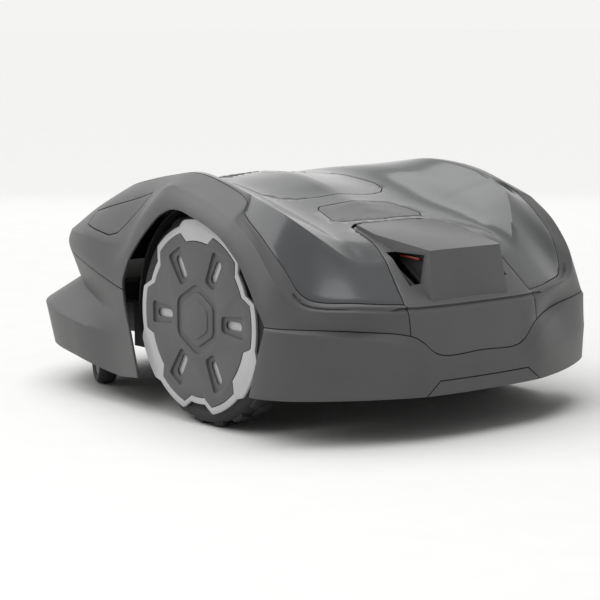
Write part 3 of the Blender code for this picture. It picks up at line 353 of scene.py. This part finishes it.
def surface_normals(grid):
    wide = np.concatenate([grid[:, 1:2] * MIRROR, grid, grid[:, -2:-1] * MIRROR], axis=1)
    forward = wide[:, 2:] - wide[:, :-2]
    tall = np.concatenate([grid[1:2] * MIRROR, grid, 2 * grid[-1:] - grid[-2:-1]], axis=0)
    outward = tall[2:] - tall[:-2]
    normals = np.cross(forward, outward)
    normals[0] = np.cross(np.gradient(grid[0], axis=0), (1, 0, 0))
    normals[:, [0, -1], 0] = 0
    return normals / np.linalg.norm(normals, axis=2, keepdims=True)


curves = np.array([along_stations(np.array([body_point(p) for p in rail])) for rail in RAILS])
GRID = np.array([across_rails(curves[:, s]) for s in range(curves.shape[1])]).transpose(1, 0, 2)
NORMALS = surface_normals(GRID)
print("body surface", GRID.shape[:2], "points on the left half")

# %% [markdown]
# ## Small tools
# A straight block from an outline, a turned ring from a profile, a cut with a Boolean, and a bevel
# that rounds every real edge.  Moulded parts have no knife edges, and those small roundings are what
# catches the light along each seam.


# %% Modelling tools
def as_object(name, shape, finish):
    mesh = bpy.data.meshes.new(name)
    shape.to_mesh(mesh)
    shape.free()
    made = bpy.data.objects.new(name, mesh)
    bpy.context.collection.objects.link(made)
    if finish:
        mesh.materials.append(M[finish])
    return made


def from_faces(name, points, faces, finish=None):
    shape = bmesh.new()
    vertices = [shape.verts.new(point) for point in points]
    for face in faces:
        shape.faces.new([vertices[index] for index in face])
    bmesh.ops.remove_doubles(shape, verts=shape.verts, dist=1e-6)
    bmesh.ops.recalc_face_normals(shape, faces=shape.faces)
    return as_object(name, shape, finish)


def prism(name, outline, low, high, finish=None, axis="Z"):
    place = {"Z": lambda a, b, c: (a, b, c), "X": lambda a, b, c: (c, a, b),
             "Y": lambda a, b, c: (a, c, b)}[axis]
    count = len(outline)
    points = [place(a, b, low) for a, b in outline] + [place(a, b, high) for a, b in outline]
    faces = [list(range(count)), list(range(count, 2 * count))]
    faces += [[i, (i + 1) % count, (i + 1) % count + count, i + count] for i in range(count)]
    return from_faces(name, points, faces, finish)


def select_only(target):
    bpy.ops.object.select_all(action="DESELECT")
    target.select_set(True)
    bpy.context.view_layer.objects.active = target


def with_modifier(target, kind, **settings):
    """Adds one modifier, sets it and applies it."""
    select_only(target)
    bpy.ops.object.modifier_add(type=kind)
    modifier = target.modifiers[-1]
    for key, value in settings.items():
        setattr(modifier, key, value)
    bpy.ops.object.modifier_apply(modifier=modifier.name)
    return target


def boolean(target, other, operation):
    """Cuts or joins with the other object, which is then used up."""
    with_modifier(target, "BOOLEAN", operation=operation, solver="MANIFOLD", object=other)
    bpy.data.objects.remove(other, do_unlink=True)
    return target


def bevel(target, width=0.0006, angle=40, segments=2):
    return with_modifier(target, "BEVEL", width=width, segments=segments, limit_method="ANGLE",
                         angle_limit=math.radians(angle), use_clamp_overlap=True)


def smooth(target, angle=35):
    select_only(target)
    bpy.ops.object.shade_smooth_by_angle(angle=math.radians(angle))
    return target


def turned(name, profile, finish, sides=96):
    """A ring or disc turned about X from (radius, along) points, closed into a solid."""
    mesh = bpy.data.meshes.new(name)
    count = len(profile)
    edges = [(i, (i + 1) % count) for i in range(count)]
    mesh.from_pydata([(along, 0, radius) for radius, along in profile], edges, [])
    made = bpy.data.objects.new(name, mesh)
    bpy.context.collection.objects.link(made)
    with_modifier(made, "SCREW", axis="X", steps=sides, render_steps=sides, use_merge_vertices=True,
                  merge_threshold=1e-6)
    shape = bmesh.new()
    shape.from_mesh(made.data)
    bmesh.ops.remove_doubles(shape, verts=shape.verts, dist=1e-6)
    bmesh.ops.recalc_face_normals(shape, faces=shape.faces)
    shape.to_mesh(made.data)
    shape.free()
    made.data.materials.append(M[finish])
    return made


def joined(target, *others):
    """Puts several meshes into one object."""
    bpy.ops.object.select_all(action="DESELECT")
    for other in others:
        other.select_set(True)
    target.select_set(True)
    bpy.context.view_layer.objects.active = target
    bpy.ops.object.join()
    return target


def moved(target, matrix):
    target.data.transform(matrix)
    return target


def dressed(piece, body, slot, *solids):
    """The piece rides on its body and stands for its solids."""
    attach(piece, body)
    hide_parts(*solids)
    return piece


def rounded(outline, radius, steps=5):
    result = []
    for i, corner in enumerate(outline):
        before, after = Vector(outline[i - 1]), Vector(outline[(i + 1) % len(outline)])
        corner = Vector(corner)
        reach = min(radius, (before - corner).length * 0.45, (after - corner).length * 0.45)
        start = corner + (before - corner).normalized() * reach
        end = corner + (after - corner).normalized() * reach
        for k in range(steps + 1):
            t = k / steps
            result.append(tuple(start * (1 - t) ** 2 + corner * 2 * t * (1 - t) + end * t * t))
    return result


def grown(outline, amount):
    area = sum(a[0] * b[1] - b[0] * a[1] for a, b in zip(outline, outline[1:] + outline[:1]))
    side = 1 if area > 0 else -1
    result = []
    for i, corner in enumerate(outline):
        before, after = Vector(outline[i - 1]), Vector(outline[(i + 1) % len(outline)])
        corner = Vector(corner)
        enter, leave = (corner - before).normalized(), (after - corner).normalized()
        normal_in, normal_out = Vector((enter.y, -enter.x)) * side, Vector((leave.y, -leave.x)) * side
        middle = (normal_in + normal_out).normalized()
        result.append(tuple(corner + middle * amount / max(middle.dot(normal_in), 0.5)))
    return result


def mirrored(outline):
    return list(outline) + [(-x, y) for x, y in reversed(outline) if x > 0]


print("tools ready")

# %% [markdown]
# ## A skin cut from the body surface
# A panel is the part of the surface between two rails and two stations.  Its inner face is the same
# sheet moved back along the surface normals, which keeps the wall even where the body curves.  A
# Solidify modifier would give each panel its own normals and the walls would meet badly at the
# seams, so both sheets are taken from the one grid.


# %% Panels
def pulled_in(row, neighbour):
    step = neighbour - row
    length = np.linalg.norm(step, axis=1, keepdims=True)
    return row + step / np.maximum(length, 1e-9) * SEAM / 2


def panel(name, rows, stations, finish, seam_edges=(), wall=WALL, lift=0.0):
    """Both halves of the skin between two rails and two stations, lifted off the body by lift."""
    rows = slice(rows[0] * ACROSS, rows[1] * ACROSS + 1)
    columns = slice(stations[0] * ALONG, stations[1] * ALONG + 1)
    sheets = []
    for below in (0, wall):
        sheet = GRID[rows, columns] + NORMALS[rows, columns] * lift - NORMALS[rows, columns] * below
        if "upper" in seam_edges:
            sheet[0] = pulled_in(sheet[0], sheet[1])
        if "lower" in seam_edges:
            sheet[-1] = pulled_in(sheet[-1], sheet[-2])
        sheets.append(sheet)
    high, wide = sheets[0].shape[:2]
    size = high * wide

    def corner(sheet, r, s):
        return sheet * size + r * wide + s

    faces = []
    for r in range(high - 1):
        for s in range(wide - 1):
            outer = [corner(0, r, s), corner(0, r, s + 1), corner(0, r + 1, s + 1), corner(0, r + 1, s)]
            faces += [outer, [index + size for index in reversed(outer)]]
    for s in range(wide - 1):
        if rows.start > 0:
            faces.append([corner(0, 0, s + 1), corner(0, 0, s), corner(1, 0, s), corner(1, 0, s + 1)])
        faces.append([corner(0, high - 1, s), corner(0, high - 1, s + 1),
                      corner(1, high - 1, s + 1), corner(1, high - 1, s)])
    for r in range(high - 1):
        if stations[0] > 0:
            faces.append([corner(0, r, 0), corner(0, r + 1, 0), corner(1, r + 1, 0), corner(1, r, 0)])
        if stations[1] < LAST_STATION:
            faces.append([corner(0, r + 1, wide - 1), corner(0, r, wide - 1),
                          corner(1, r, wide - 1), corner(1, r + 1, wide - 1)])
    points = np.concatenate([sheet.reshape(-1, 3) for sheet in sheets])
    shape = bmesh.new()
    for side in (1, -1):
        vertices = [shape.verts.new((side * x, y, z)) for x, y, z in points]
        for face in faces:
            shape.faces.new([vertices[index] for index in (face if side > 0 else reversed(face))])
    bmesh.ops.remove_doubles(shape, verts=shape.verts, dist=2e-5)
    bmesh.ops.dissolve_degenerate(shape, edges=shape.edges, dist=1e-5)
    return as_object(name, shape, finish)


LOW, HIGH = -0.02, 0.40
BEHIND = (0.0, 0.7)
OUTSIDE_X = 0.504
ARCH_INSIDE_X, INSET_INSIDE_X = 0.168, 0.15


def plan_cutter(outline, amount):
    outline = [body_point((x, y, 0))[:2] for x, y in outline]
    return prism("cutter", grown(mirrored(outline), amount), LOW, HIGH)


def side_outline(points, amount):
    return grown([body_point((0, y, z))[1:] for y, z in points], amount)


def rear_cutter(outline, amount):
    return prism("cutter", grown(outline, amount), *BEHIND, axis="Y")


def side_cutter(outline, side, inside):
    low, high = sorted((side * inside, side * OUTSIDE_X))
    return prism("cutter", outline, low, high, axis="X")


ARCH = [
    (-.097, -.140), (-.1040, -.0810), (-.1450, .0260), (-.1240, .0590), (-.0930, .0870), (-.0570, .1150),
    (-.0340, .1250), (-.0120, .1250), (.0340, .1130), (.0670, .1000), (.0990, .0730), (.1180, .0460),
    (.1370, .0180), (.1420, .0070), (.1300, -.0340), (.1160, -.0810), (.112, -.140)]


def arch_cutter(side):
    outline = rounded([(AXLE_Y + y, AXLE_Z + z) for y, z in ARCH], 0.012, 6)
    return side_cutter(outline, side, ARCH_INSIDE_X)


MODULE_OUTLINE = [
    (0, .062), (.052, .063), (.0655, .073), (.0980, .201), (.0988, .209), (.0970, .236), (0, .236)]
HATCH_OUTLINE = [
    (0, -.190), (.062, -.190), (.080, -.172), (.092, -.125), (.096, -.070), (.091, -.050), (.078, -.038),
    (.060, -.031), (.030, -.028), (0, -.028)]
PLATE_OUTLINE = [(0, -.001), (.052, -.001), (.061, .007), (.070, .042), (.063, .052), (0, .053)]
FRONT_PANEL = [(-.266, .226), (-.262, .211), (-.192, .204), (-.176, .208), (-.128, .259)]
HANDLE_OUTLINE = [
    (-.0690, .0665), (.0690, .0665), (.0880, .0520), (.0960, .030), (-.0960, .030), (-.0880, .0520)]
print("panel maker ready")

# %% [markdown]
# ## Gloss covers
# The top cover is the gloss moulding from ridge to ridge.  The hatch, the name field and the tail
# module are cut out of it, each with an open seam of 1.4 mm.

# %% Top cover, hatch and name field
top_cover = panel("cover_top", (CENTRE_ROW, SEAM_ROW), (0, LAST_STATION), "gloss_grey", ("lower",))
for outline in (HATCH_OUTLINE, PLATE_OUTLINE, MODULE_OUTLINE):
    boolean(top_cover, plan_cutter(outline, SEAM / 2), "DIFFERENCE")
hatch = panel("cover_hatch", (CENTRE_ROW, SEAM_ROW), (0, LAST_STATION), "gloss_grey")
boolean(hatch, plan_cutter(HATCH_OUTLINE, -SEAM / 2), "INTERSECT")
button_hole = [(0.021 * math.cos(a), -.150 + AXLE_Y + 0.012 * math.sin(a))
               for a in (2 * math.pi * (i + .5) / 48 for i in range(48))]
boolean(hatch, prism("cutter", button_hole, LOW, HIGH), "DIFFERENCE")
plate = panel("cover_name_field", (CENTRE_ROW, SEAM_ROW), (0, 9), "tail_grey")
boolean(plate, plan_cutter(PLATE_OUTLINE, -SEAM / 2), "INTERSECT")
button = panel("hatch_button", (CENTRE_ROW, SEAM_ROW), (8, LAST_STATION), "gloss_grey", wall=2 * WALL)
boolean(button, prism("cutter", grown(button_hole, -.0005), LOW, HIGH), "INTERSECT")
for piece in (top_cover, hatch, plate, button):
    smooth(bevel(piece))
dressed(top_cover, "cover", "gloss_grey", "top_cover")
dressed(hatch, "hatch_body", "gloss_grey", "hatch")
dressed(plate, "cover", "tail_grey", "nameplate")
dressed(button, "button_body", "gloss_grey", "stop_button")
print("gloss covers", [len(p.data.polygons) for p in (top_cover, hatch, plate, button)])

# %% [markdown]
# A fan of low ribs across the crown of the hatch gives the fingers grip.  Each rib is a slice of a
# skin raised six tenths of a millimetre, cut out with a thin curved bar, so it follows the crown.

# %% Grip ribs
RIB_COUNT, RIB_RISE, RIB_HALF_WIDTH = 10, 0.0006, 0.0011
RIB_NEAR, RIB_FAR = 0.128, 0.150
fan_middle = np.array([0.0, -.150 + AXLE_Y + 0.1000])
rib_parts = []
for i in range(RIB_COUNT):
    angle = math.radians(-27 + 6 * i)
    ray = np.array([math.sin(angle), -math.cos(angle)])
    across = np.array([ray[1], -ray[0]]) * RIB_HALF_WIDTH
    corners = ((RIB_NEAR, 1), (RIB_FAR, 1), (RIB_FAR, -1), (RIB_NEAR, -1))
    bar = [tuple(fan_middle + ray * reach + across * k) for reach, k in corners]
    rib = panel("rib", (CENTRE_ROW, CREST_ROW), (9, 15), "gloss_grey", wall=0.0010, lift=RIB_RISE)
    boolean(rib, prism("cutter", bar, LOW, HIGH), "INTERSECT")
    rib_parts.append(rib)
ribs = smooth(joined(*rib_parts))
ribs.name = "hatch_ribs"
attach(ribs, "hatch_body")
print("ribs", len(rib_parts))

# %% [markdown]
# ## Outer shell and bumpers
# The satin shell runs round the machine from the gloss seam to the bumper seam, with the wheel
# arches cut through it.  The bumpers below carry the lip that pushes grass aside, and the rear one
# holds a small door.

# %% Outer shell and bumpers
shell = panel("shell_outer", (SEAM_ROW, BUMPER_ROW), (1, LAST_STATION), "body_grey", ("upper", "lower"))
boolean(shell, plan_cutter(MODULE_OUTLINE, SEAM / 2), "DIFFERENCE")
bumper_rear = panel("bumper_rear", (BUMPER_ROW, HEM_ROW), (0, REAR_END_STATION), "body_grey", ("upper",))
bumper_front = panel("bumper_front", (BUMPER_ROW, HEM_ROW), (FRONT_END_STATION, LAST_STATION),
                     "body_grey", ("upper",))
for side in (1, -1):
    for piece in (shell, bumper_rear, bumper_front):
        boolean(piece, arch_cutter(side), "DIFFERENCE")
door = panel("rear_door", (BUMPER_ROW, HEM_ROW), (0, 3), "body_grey")
boolean(door, rear_cutter(HANDLE_OUTLINE, -SEAM / 2), "INTERSECT")
boolean(bumper_rear, rear_cutter(HANDLE_OUTLINE, SEAM / 2), "DIFFERENCE")
for name, side in (("left", 1), ("right", -1)):
    inset = panel("front_inset_" + name, (SEAM_ROW, BUMPER_ROW), (11, 15), "body_grey")
    boolean(inset, side_cutter(side_outline(FRONT_PANEL, -SEAM / 2), side, INSET_INSIDE_X), "INTERSECT")
    boolean(shell, side_cutter(side_outline(FRONT_PANEL, SEAM / 2), side, INSET_INSIDE_X), "DIFFERENCE")
    dressed(smooth(bevel(inset)), "cover", "body_grey", "front_panel_" + name)
for piece in (shell, bumper_rear, bumper_front, door):
    smooth(bevel(piece))
dressed(shell, "cover", "body_grey", "outer_shell")
dressed(bumper_rear, "cover", "body_grey", "rear_bumper")
dressed(bumper_front, "cover", "body_grey", "front_bumper")
dressed(door, "cover", "body_grey", "rear_handle")
print("shell faces", len(shell.data.polygons))

# %% [markdown]
# The seams between the skins are open lines, where a moulded shell would have flanges behind them.
# A thin black strip under each long seam, and a plate behind the door, keep the light out.


# %% Seam backing
def strip(name, row, spread, stations):
    """A thin sheet under a seam, spread rows wide on both sides of it."""
    rows = slice(row * ACROSS - spread, row * ACROSS + spread + 1)
    columns = slice(stations[0] * ALONG, stations[1] * ALONG + 1)
    sheets = [GRID[rows, columns] - NORMALS[rows, columns] * (WALL + extra) for extra in (.0002, .0010)]
    high, wide = sheets[0].shape[:2]
    size = high * wide
    faces = []
    for r in range(high - 1):
        for c in range(wide - 1):
            quad = [r * wide + c, r * wide + c + 1, (r + 1) * wide + c + 1, (r + 1) * wide + c]
            faces += [quad, [index + size for index in reversed(quad)]]
    rim = ([(c, c + 1) for c in range(wide - 1)]
           + [((high - 1) * wide + c + 1, (high - 1) * wide + c) for c in range(wide - 1)]
           + [((r + 1) * wide, r * wide) for r in range(high - 1)]
           + [(r * wide + wide - 1, (r + 1) * wide + wide - 1) for r in range(high - 1)])
    faces += [[b, a, a + size, b + size] for a, b in rim]
    points = np.concatenate([sheet.reshape(-1, 3) for sheet in sheets])
    halves = []
    for side in (1, -1):
        half = from_faces(name, [(side * x, y, z) for x, y, z in points], faces, "black_plastic")
        halves.append(boolean(half, arch_cutter(side), "DIFFERENCE"))
    made = joined(*halves)
    made.name = name
    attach(made, "cover")
    return made


strip("seam_backing_rear", BUMPER_ROW, 3, (0, REAR_END_STATION))
strip("seam_backing_front", BUMPER_ROW, 3, (FRONT_END_STATION, LAST_STATION))
strip("seam_backing_top", SEAM_ROW, 2, (3, LAST_STATION))
door_backing = panel("door_backing", (BUMPER_ROW, HEM_ROW), (0, 4), "black_plastic", wall=.0008,
                     lift=-(WALL + GAP))
below_door = [(-.2, 0), (.2, 0), (.2, .0545), (-.2, .0545)]
boolean(door_backing, rear_cutter(HANDLE_OUTLINE, .006), "INTERSECT")
boolean(door_backing, prism("cutter", below_door, *BEHIND, axis="Y"), "DIFFERENCE")
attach(door_backing, "cover")
print("seam backing strips")

# %% [markdown]
# ## Tail module
# A raised box with sloping sides stands on the rear panel.  Its base is the body surface itself, so
# it flows into the skins round it, and the box is joined on with a Boolean.  The hollow and the two
# side openings are cut out after that.


# %% Tail module
BOX_TOP = [(.0600, .0760, .2276), (.0690, .1180, .2205), (.0550, .1944, .2075)]
BOX_FOOT = [(.0620, .0760, .2165), (.0700, .1180, .1930), (.0590, .2060, .1440)]
BOX_FACES = [
    (0, 1, 4, 3), (1, 2, 5, 4), (6, 7, 10, 9), (7, 8, 11, 10), (0, 1, 7, 6), (1, 2, 8, 7),
    (3, 4, 10, 9), (4, 5, 11, 10), (0, 3, 9, 6), (2, 5, 11, 8)]


def box_solid(name, inset, drop):
    corners = []
    for row, lower in ((BOX_TOP, inset), (BOX_FOOT, drop)):
        for place, (x, y, z) in enumerate(row):
            corners.append((x - inset, y + (inset, 0, -inset)[place], z - lower))
    points = [body_point(c) for c in corners] + [body_point((-x, y, z)) for x, y, z in corners]
    return from_faces(name, points, BOX_FACES)


module = panel("tail_box", (CENTRE_ROW, BUMPER_ROW), (0, 3), "tail_grey", ("lower",))
boolean(module, plan_cutter(MODULE_OUTLINE, -SEAM / 2), "INTERSECT")
boolean(module, box_solid("box", 0, 0), "UNION")
boolean(module, box_solid("hollow", WALL, 0.05), "DIFFERENCE")
VENT_OUTLINE = [(.1240, .2035), (.1880, .2020), (.1850, .1600)]
VENT_BACK_X, VENT_OPEN_X = .049, .076
for side in (1, -1):
    low, high = sorted((side * VENT_BACK_X, side * VENT_OPEN_X))
    boolean(module, prism("cutter", side_outline(VENT_OUTLINE, 0), low, high, axis="X"), "DIFFERENCE")
dressed(smooth(bevel(module, 0.0016, 30, 3)), "cover", "tail_grey", "tail_module")
print("tail module", len(module.data.polygons))

# %% [markdown]
# Each vent is a black plate at the back of its opening, with one diagonal rib on it, and a red lamp
# strip lies under the upper edge.

# %% Vents and lamps
RIB = 0.0022
for name, side in (("left", 1), ("right", -1)):
    opening = side_outline(VENT_OUTLINE, 0)
    low, high = sorted((side * (VENT_BACK_X + GAP), side * (VENT_BACK_X + GAP + RIB)))
    vent = prism("vent_" + name, grown(opening, -GAP), low, high, "black_plastic", axis="X")
    front, rear, foot = (Vector(p) for p in grown(opening, -2 * RIB))
    across = (foot - front).normalized().orthogonal() * RIB / 2
    bar = [tuple(p) for p in (front + across, foot + across, foot - across, front - across)]
    low, high = sorted((side * (VENT_BACK_X + RIB), side * (VENT_BACK_X + 2 * RIB)))
    boolean(vent, prism("rib", bar, low, high, axis="X"), "UNION")
    along, down = (rear - front).normalized(), (foot - rear).normalized()
    start, end = front + along * 0.014, rear - along * 0.004
    lamp_outline = [tuple(p) for p in (start, end, end + down * .0026, start + down * .0026)]
    low, high = sorted((side * (VENT_BACK_X + 2 * GAP + RIB), side * (VENT_BACK_X + RIB + 0.006)))
    lamp = prism("lamp_" + name, lamp_outline, low, high, "lamp_red", axis="X")
    dressed(smooth(bevel(vent, 0.0003)), "cover", "black_plastic", "tail_vent_" + name)
    dressed(smooth(bevel(lamp, 0.0006)), "cover", "lamp_red", "tail_light_" + name)
print("vents and lamps")

# %% [markdown]
# ## Drive wheels
# Each wheel is a rubber tyre with blocks, a dished rim, a silver ring with three pads and three
# notches, and a hub cap with six slots.  One wheel is modelled facing +X at the origin and each side
# gets its own copy, turned round for the right side.

# %% Wheel profile helpers
FACE = 0.025
CENTRE_X = 0.205
PAD_END, PLAIN_START, PLAIN_END, JOG_START = 13, 18, 45, 52


def ring_radius(angle, plain, pad, jog):
    """The edge of the wheel trim: three pads, three notches (jog) and slopes between, in degrees."""
    from_pad = abs((angle - 90 + 60) % 120 - 60)
    if from_pad < PAD_END:
        return pad
    if from_pad < PLAIN_START:
        return pad + (plain - pad) * (from_pad - PAD_END) / (PLAIN_START - PAD_END)
    if from_pad < PLAIN_END:
        return plain
    if from_pad < JOG_START:
        return plain + (jog - plain) * (from_pad - PLAIN_END) / (JOG_START - PLAIN_END)
    return jog


def polar(radius_at, step=1):
    return [(radius_at(a) * math.cos(math.radians(a)), radius_at(a) * math.sin(math.radians(a)))
            for a in range(0, 360, step)]


def seat(piece, side):
    """Moves a wheel piece, built at the origin facing +X, to its axle."""
    turn = Matrix.Identity(4) if side > 0 else Matrix.Rotation(math.pi, 4, "Z")
    return moved(piece, Matrix.Translation((side * CENTRE_X, AXLE_Y, AXLE_Z)) @ turn)


print("wheel centre", (CENTRE_X, AXLE_Y, AXLE_Z))

# %% [markdown]
# The tyre body is turned from its profile.  The tread is two rows of blocks set half a pitch apart,
# each a tapered block raised from the tread face, joined to the carcass.


# %% Tyre
TREAD_BLOCKS, TREAD_FOOT, TREAD_TOP = 20, .1185, .1238
CARCASS = [
    (.099, -.022), (.106, -.0245), (.108, -.025), (.1125, -.0242), (.117, -.0215), (.1195, -.017),
    (.120, -.010), (.120, .010), (.1195, .017), (.117, .0215), (.1125, .0242), (.108, .025),
    (.106, .0245), (.099, .022)]


def tyre_mesh(name):
    body = turned(name, CARCASS, "tyre_rubber", 120)
    blocks = bmesh.new()
    pitch = 2 * math.pi / TREAD_BLOCKS
    for i in range(TREAD_BLOCKS):
        for row, (inner, outer) in enumerate(((-.0165, -.0012), (.0012, .0165))):
            angle = pitch * (i + (0.5 if row else 0))
            half = pitch * 0.27
            skew = pitch * (0.09 if row else -0.09)
            base, top = [], []
            middle = (inner + outer) / 2
            for x, a in ((inner, -half - skew), (outer, -half + skew),
                         (outer, half + skew), (inner, half - skew)):
                base.append(blocks.verts.new(
                    (x, TREAD_FOOT * math.cos(angle + a), TREAD_FOOT * math.sin(angle + a))))
                a, x = a * 0.84, middle + (x - middle) * 0.88
                top.append(blocks.verts.new(
                    (x, TREAD_TOP * math.cos(angle + a), TREAD_TOP * math.sin(angle + a))))
            blocks.faces.new(base)
            blocks.faces.new(top)
            for k in range(4):
                blocks.faces.new((base[k], base[(k + 1) % 4], top[(k + 1) % 4], top[k]))
    bmesh.ops.recalc_face_normals(blocks, faces=blocks.faces)
    tread = as_object("tread", blocks, "tyre_rubber")
    bevel(tread, 0.0009, 30, 2)
    return smooth(joined(body, tread), 40)


print("tread blocks per tyre", 2 * TREAD_BLOCKS)

# %% [markdown]
# The inner edge of the silver ring and the edge of the hub cap follow one outline, half a millimetre
# apart.  A silver plate shows through the cap's six slots, and a dished rim closes the back.


# %% Rim, ring, cap
def slot_outline(start, end, half, steps=8):
    """A rounded slot along +Y from radius start to end."""
    arc = [math.pi * k / steps for k in range(steps + 1)]
    return ([(end - half + half * math.sin(a), half * math.cos(a)) for a in arc]
            + [(start + half - half * math.sin(a), -half * math.cos(a)) for a in arc])


def ring_mesh(name):
    outside = polar(lambda a: ring_radius(a, .1095, .1150, .0975))
    inside = polar(lambda a: ring_radius(a, .1015, .0900, .0900))
    ring = prism(name, outside, FACE + GAP, FACE + .0043, "silver", axis="X")
    boolean(ring, prism("inside", inside, -1, 1, axis="X"), "DIFFERENCE")
    return smooth(bevel(ring, 0.0009, 40, 3))


def cap_mesh(name):
    outside = polar(lambda a: ring_radius(a, .1010, .0894, .0894))
    cap = prism(name, outside, FACE + GAP, FACE + .0045, "hub_grey", axis="X")
    for i in range(6):
        turn = Matrix.Rotation(math.pi * i / 3, 4, "X")
        well = rounded([(.0465, -.0090), (.0870, -.0135), (.0870, .0135), (.0465, .0090)], .005)
        slot = slot_outline(.0515, .0805, .0052)
        boolean(cap, moved(prism("well", well, FACE + .0014, 1, axis="X"), turn), "DIFFERENCE")
        boolean(cap, moved(prism("slot", slot, -1, 1, axis="X"), turn), "DIFFERENCE")
    hexagon = [(.044 * math.cos(math.pi * (2 * k + 1) / 6), .042 * math.sin(math.pi * (2 * k + 1) / 6))
               for k in range(6)]
    boolean(cap, prism("dish", rounded(hexagon, .008), FACE + .0022, 1, axis="X"), "DIFFERENCE")
    for scale, top, width in ((0.78, .0046, .0018), (0.56, .0060, .0012)):
        small = [(a * scale, b * scale) for a, b in hexagon]
        boss = bevel(prism("hub", rounded(small, .006), FACE + .001, FACE + top, axis="X"), width, 60, 3)
        boolean(cap, boss, "UNION")
    return smooth(bevel(cap, 0.0007, 50, 3))


def inlay_mesh(name):
    """Silver plate behind the slots, seen through them."""
    profile = [(.046, FACE - .0035), (.089, FACE - .0035), (.089, FACE - .0015), (.046, FACE - .0015)]
    return smooth(bevel(turned(name, profile, "silver"), .0003))


def rim_mesh(name):
    profile = [(.0085, -.007), (.098, -.021), (.0985, -.019), (.0985, FACE), (.0937, FACE),
               (.0932, .0035), (.090, .0030), (.0085, .0030)]
    return smooth(turned(name, profile, "black_plastic", 120))


for name, side in (("left", 1), ("right", -1)):
    dressed(seat(tyre_mesh("tyre_body_" + name), side), "drive_" + name, "tyre_rubber", "tyre_" + name)
    dressed(seat(ring_mesh("silver_ring_" + name), side), "drive_" + name, "silver", "wheel_ring_" + name)
    dressed(seat(cap_mesh("hub_cap_" + name), side), "drive_" + name, "hub_grey", "wheel_cap_" + name)
    dressed(seat(rim_mesh("rim_dish_" + name), side), "drive_" + name, "hub_grey", "rim_" + name)
    inlay = seat(inlay_mesh("slot_inlay_" + name), side)
    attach(inlay, "drive_" + name)
print("drive wheels on bodies drive_left and drive_right")

# %% [markdown]
# ## Casters
# The front of the mower rolls on two swivelling wheels.  Their tyres and hubs are turned again with
# rounder shoulders; the forks stay as their solids are.

# %% Caster wheels
CASTER_SIDES = 72
CASTER_TREAD = [
    (.025, -.0100), (.0300, -.0117), (.0325, -.0116), (.0345, -.0100), (.0357, -.0065), (.036, -.002),
    (.036, .002), (.0357, .0065), (.0345, .0100), (.0325, .0116), (.0300, .0117), (.025, .0100)]
CASTER_HUB = [
    (.0045, -.012), (.0095, -.012), (.0105, -.0112), (.0125, -.0078), (.0200, -.0075), (.0235, -.0092),
    (.0247, -.0090), (.0247, .0090), (.0235, .0092), (.0200, .0075), (.0125, .0078), (.0105, .0112),
    (.0095, .012), (.0045, .012)]
for name, side in (("left", 1), ("right", -1)):
    steer = math.radians(-24) * side
    place = (Matrix.Translation((side * .158, -.214, .036)) @ Matrix.Rotation(steer, 4, "Z")
             @ Matrix.Translation((0, .021, 0)))
    tyre = turned("caster_tread_" + name, CASTER_TREAD, "tyre_rubber", CASTER_SIDES)
    hub = turned("caster_core_" + name, CASTER_HUB, "hub_grey", CASTER_SIDES)
    dressed(smooth(moved(tyre, place)), "caster_wheel_" + name, "tyre_rubber", "caster_tyre_" + name)
    dressed(smooth(moved(hub, place)), "caster_wheel_" + name, "hub_grey", "caster_hub_" + name)
print("casters")
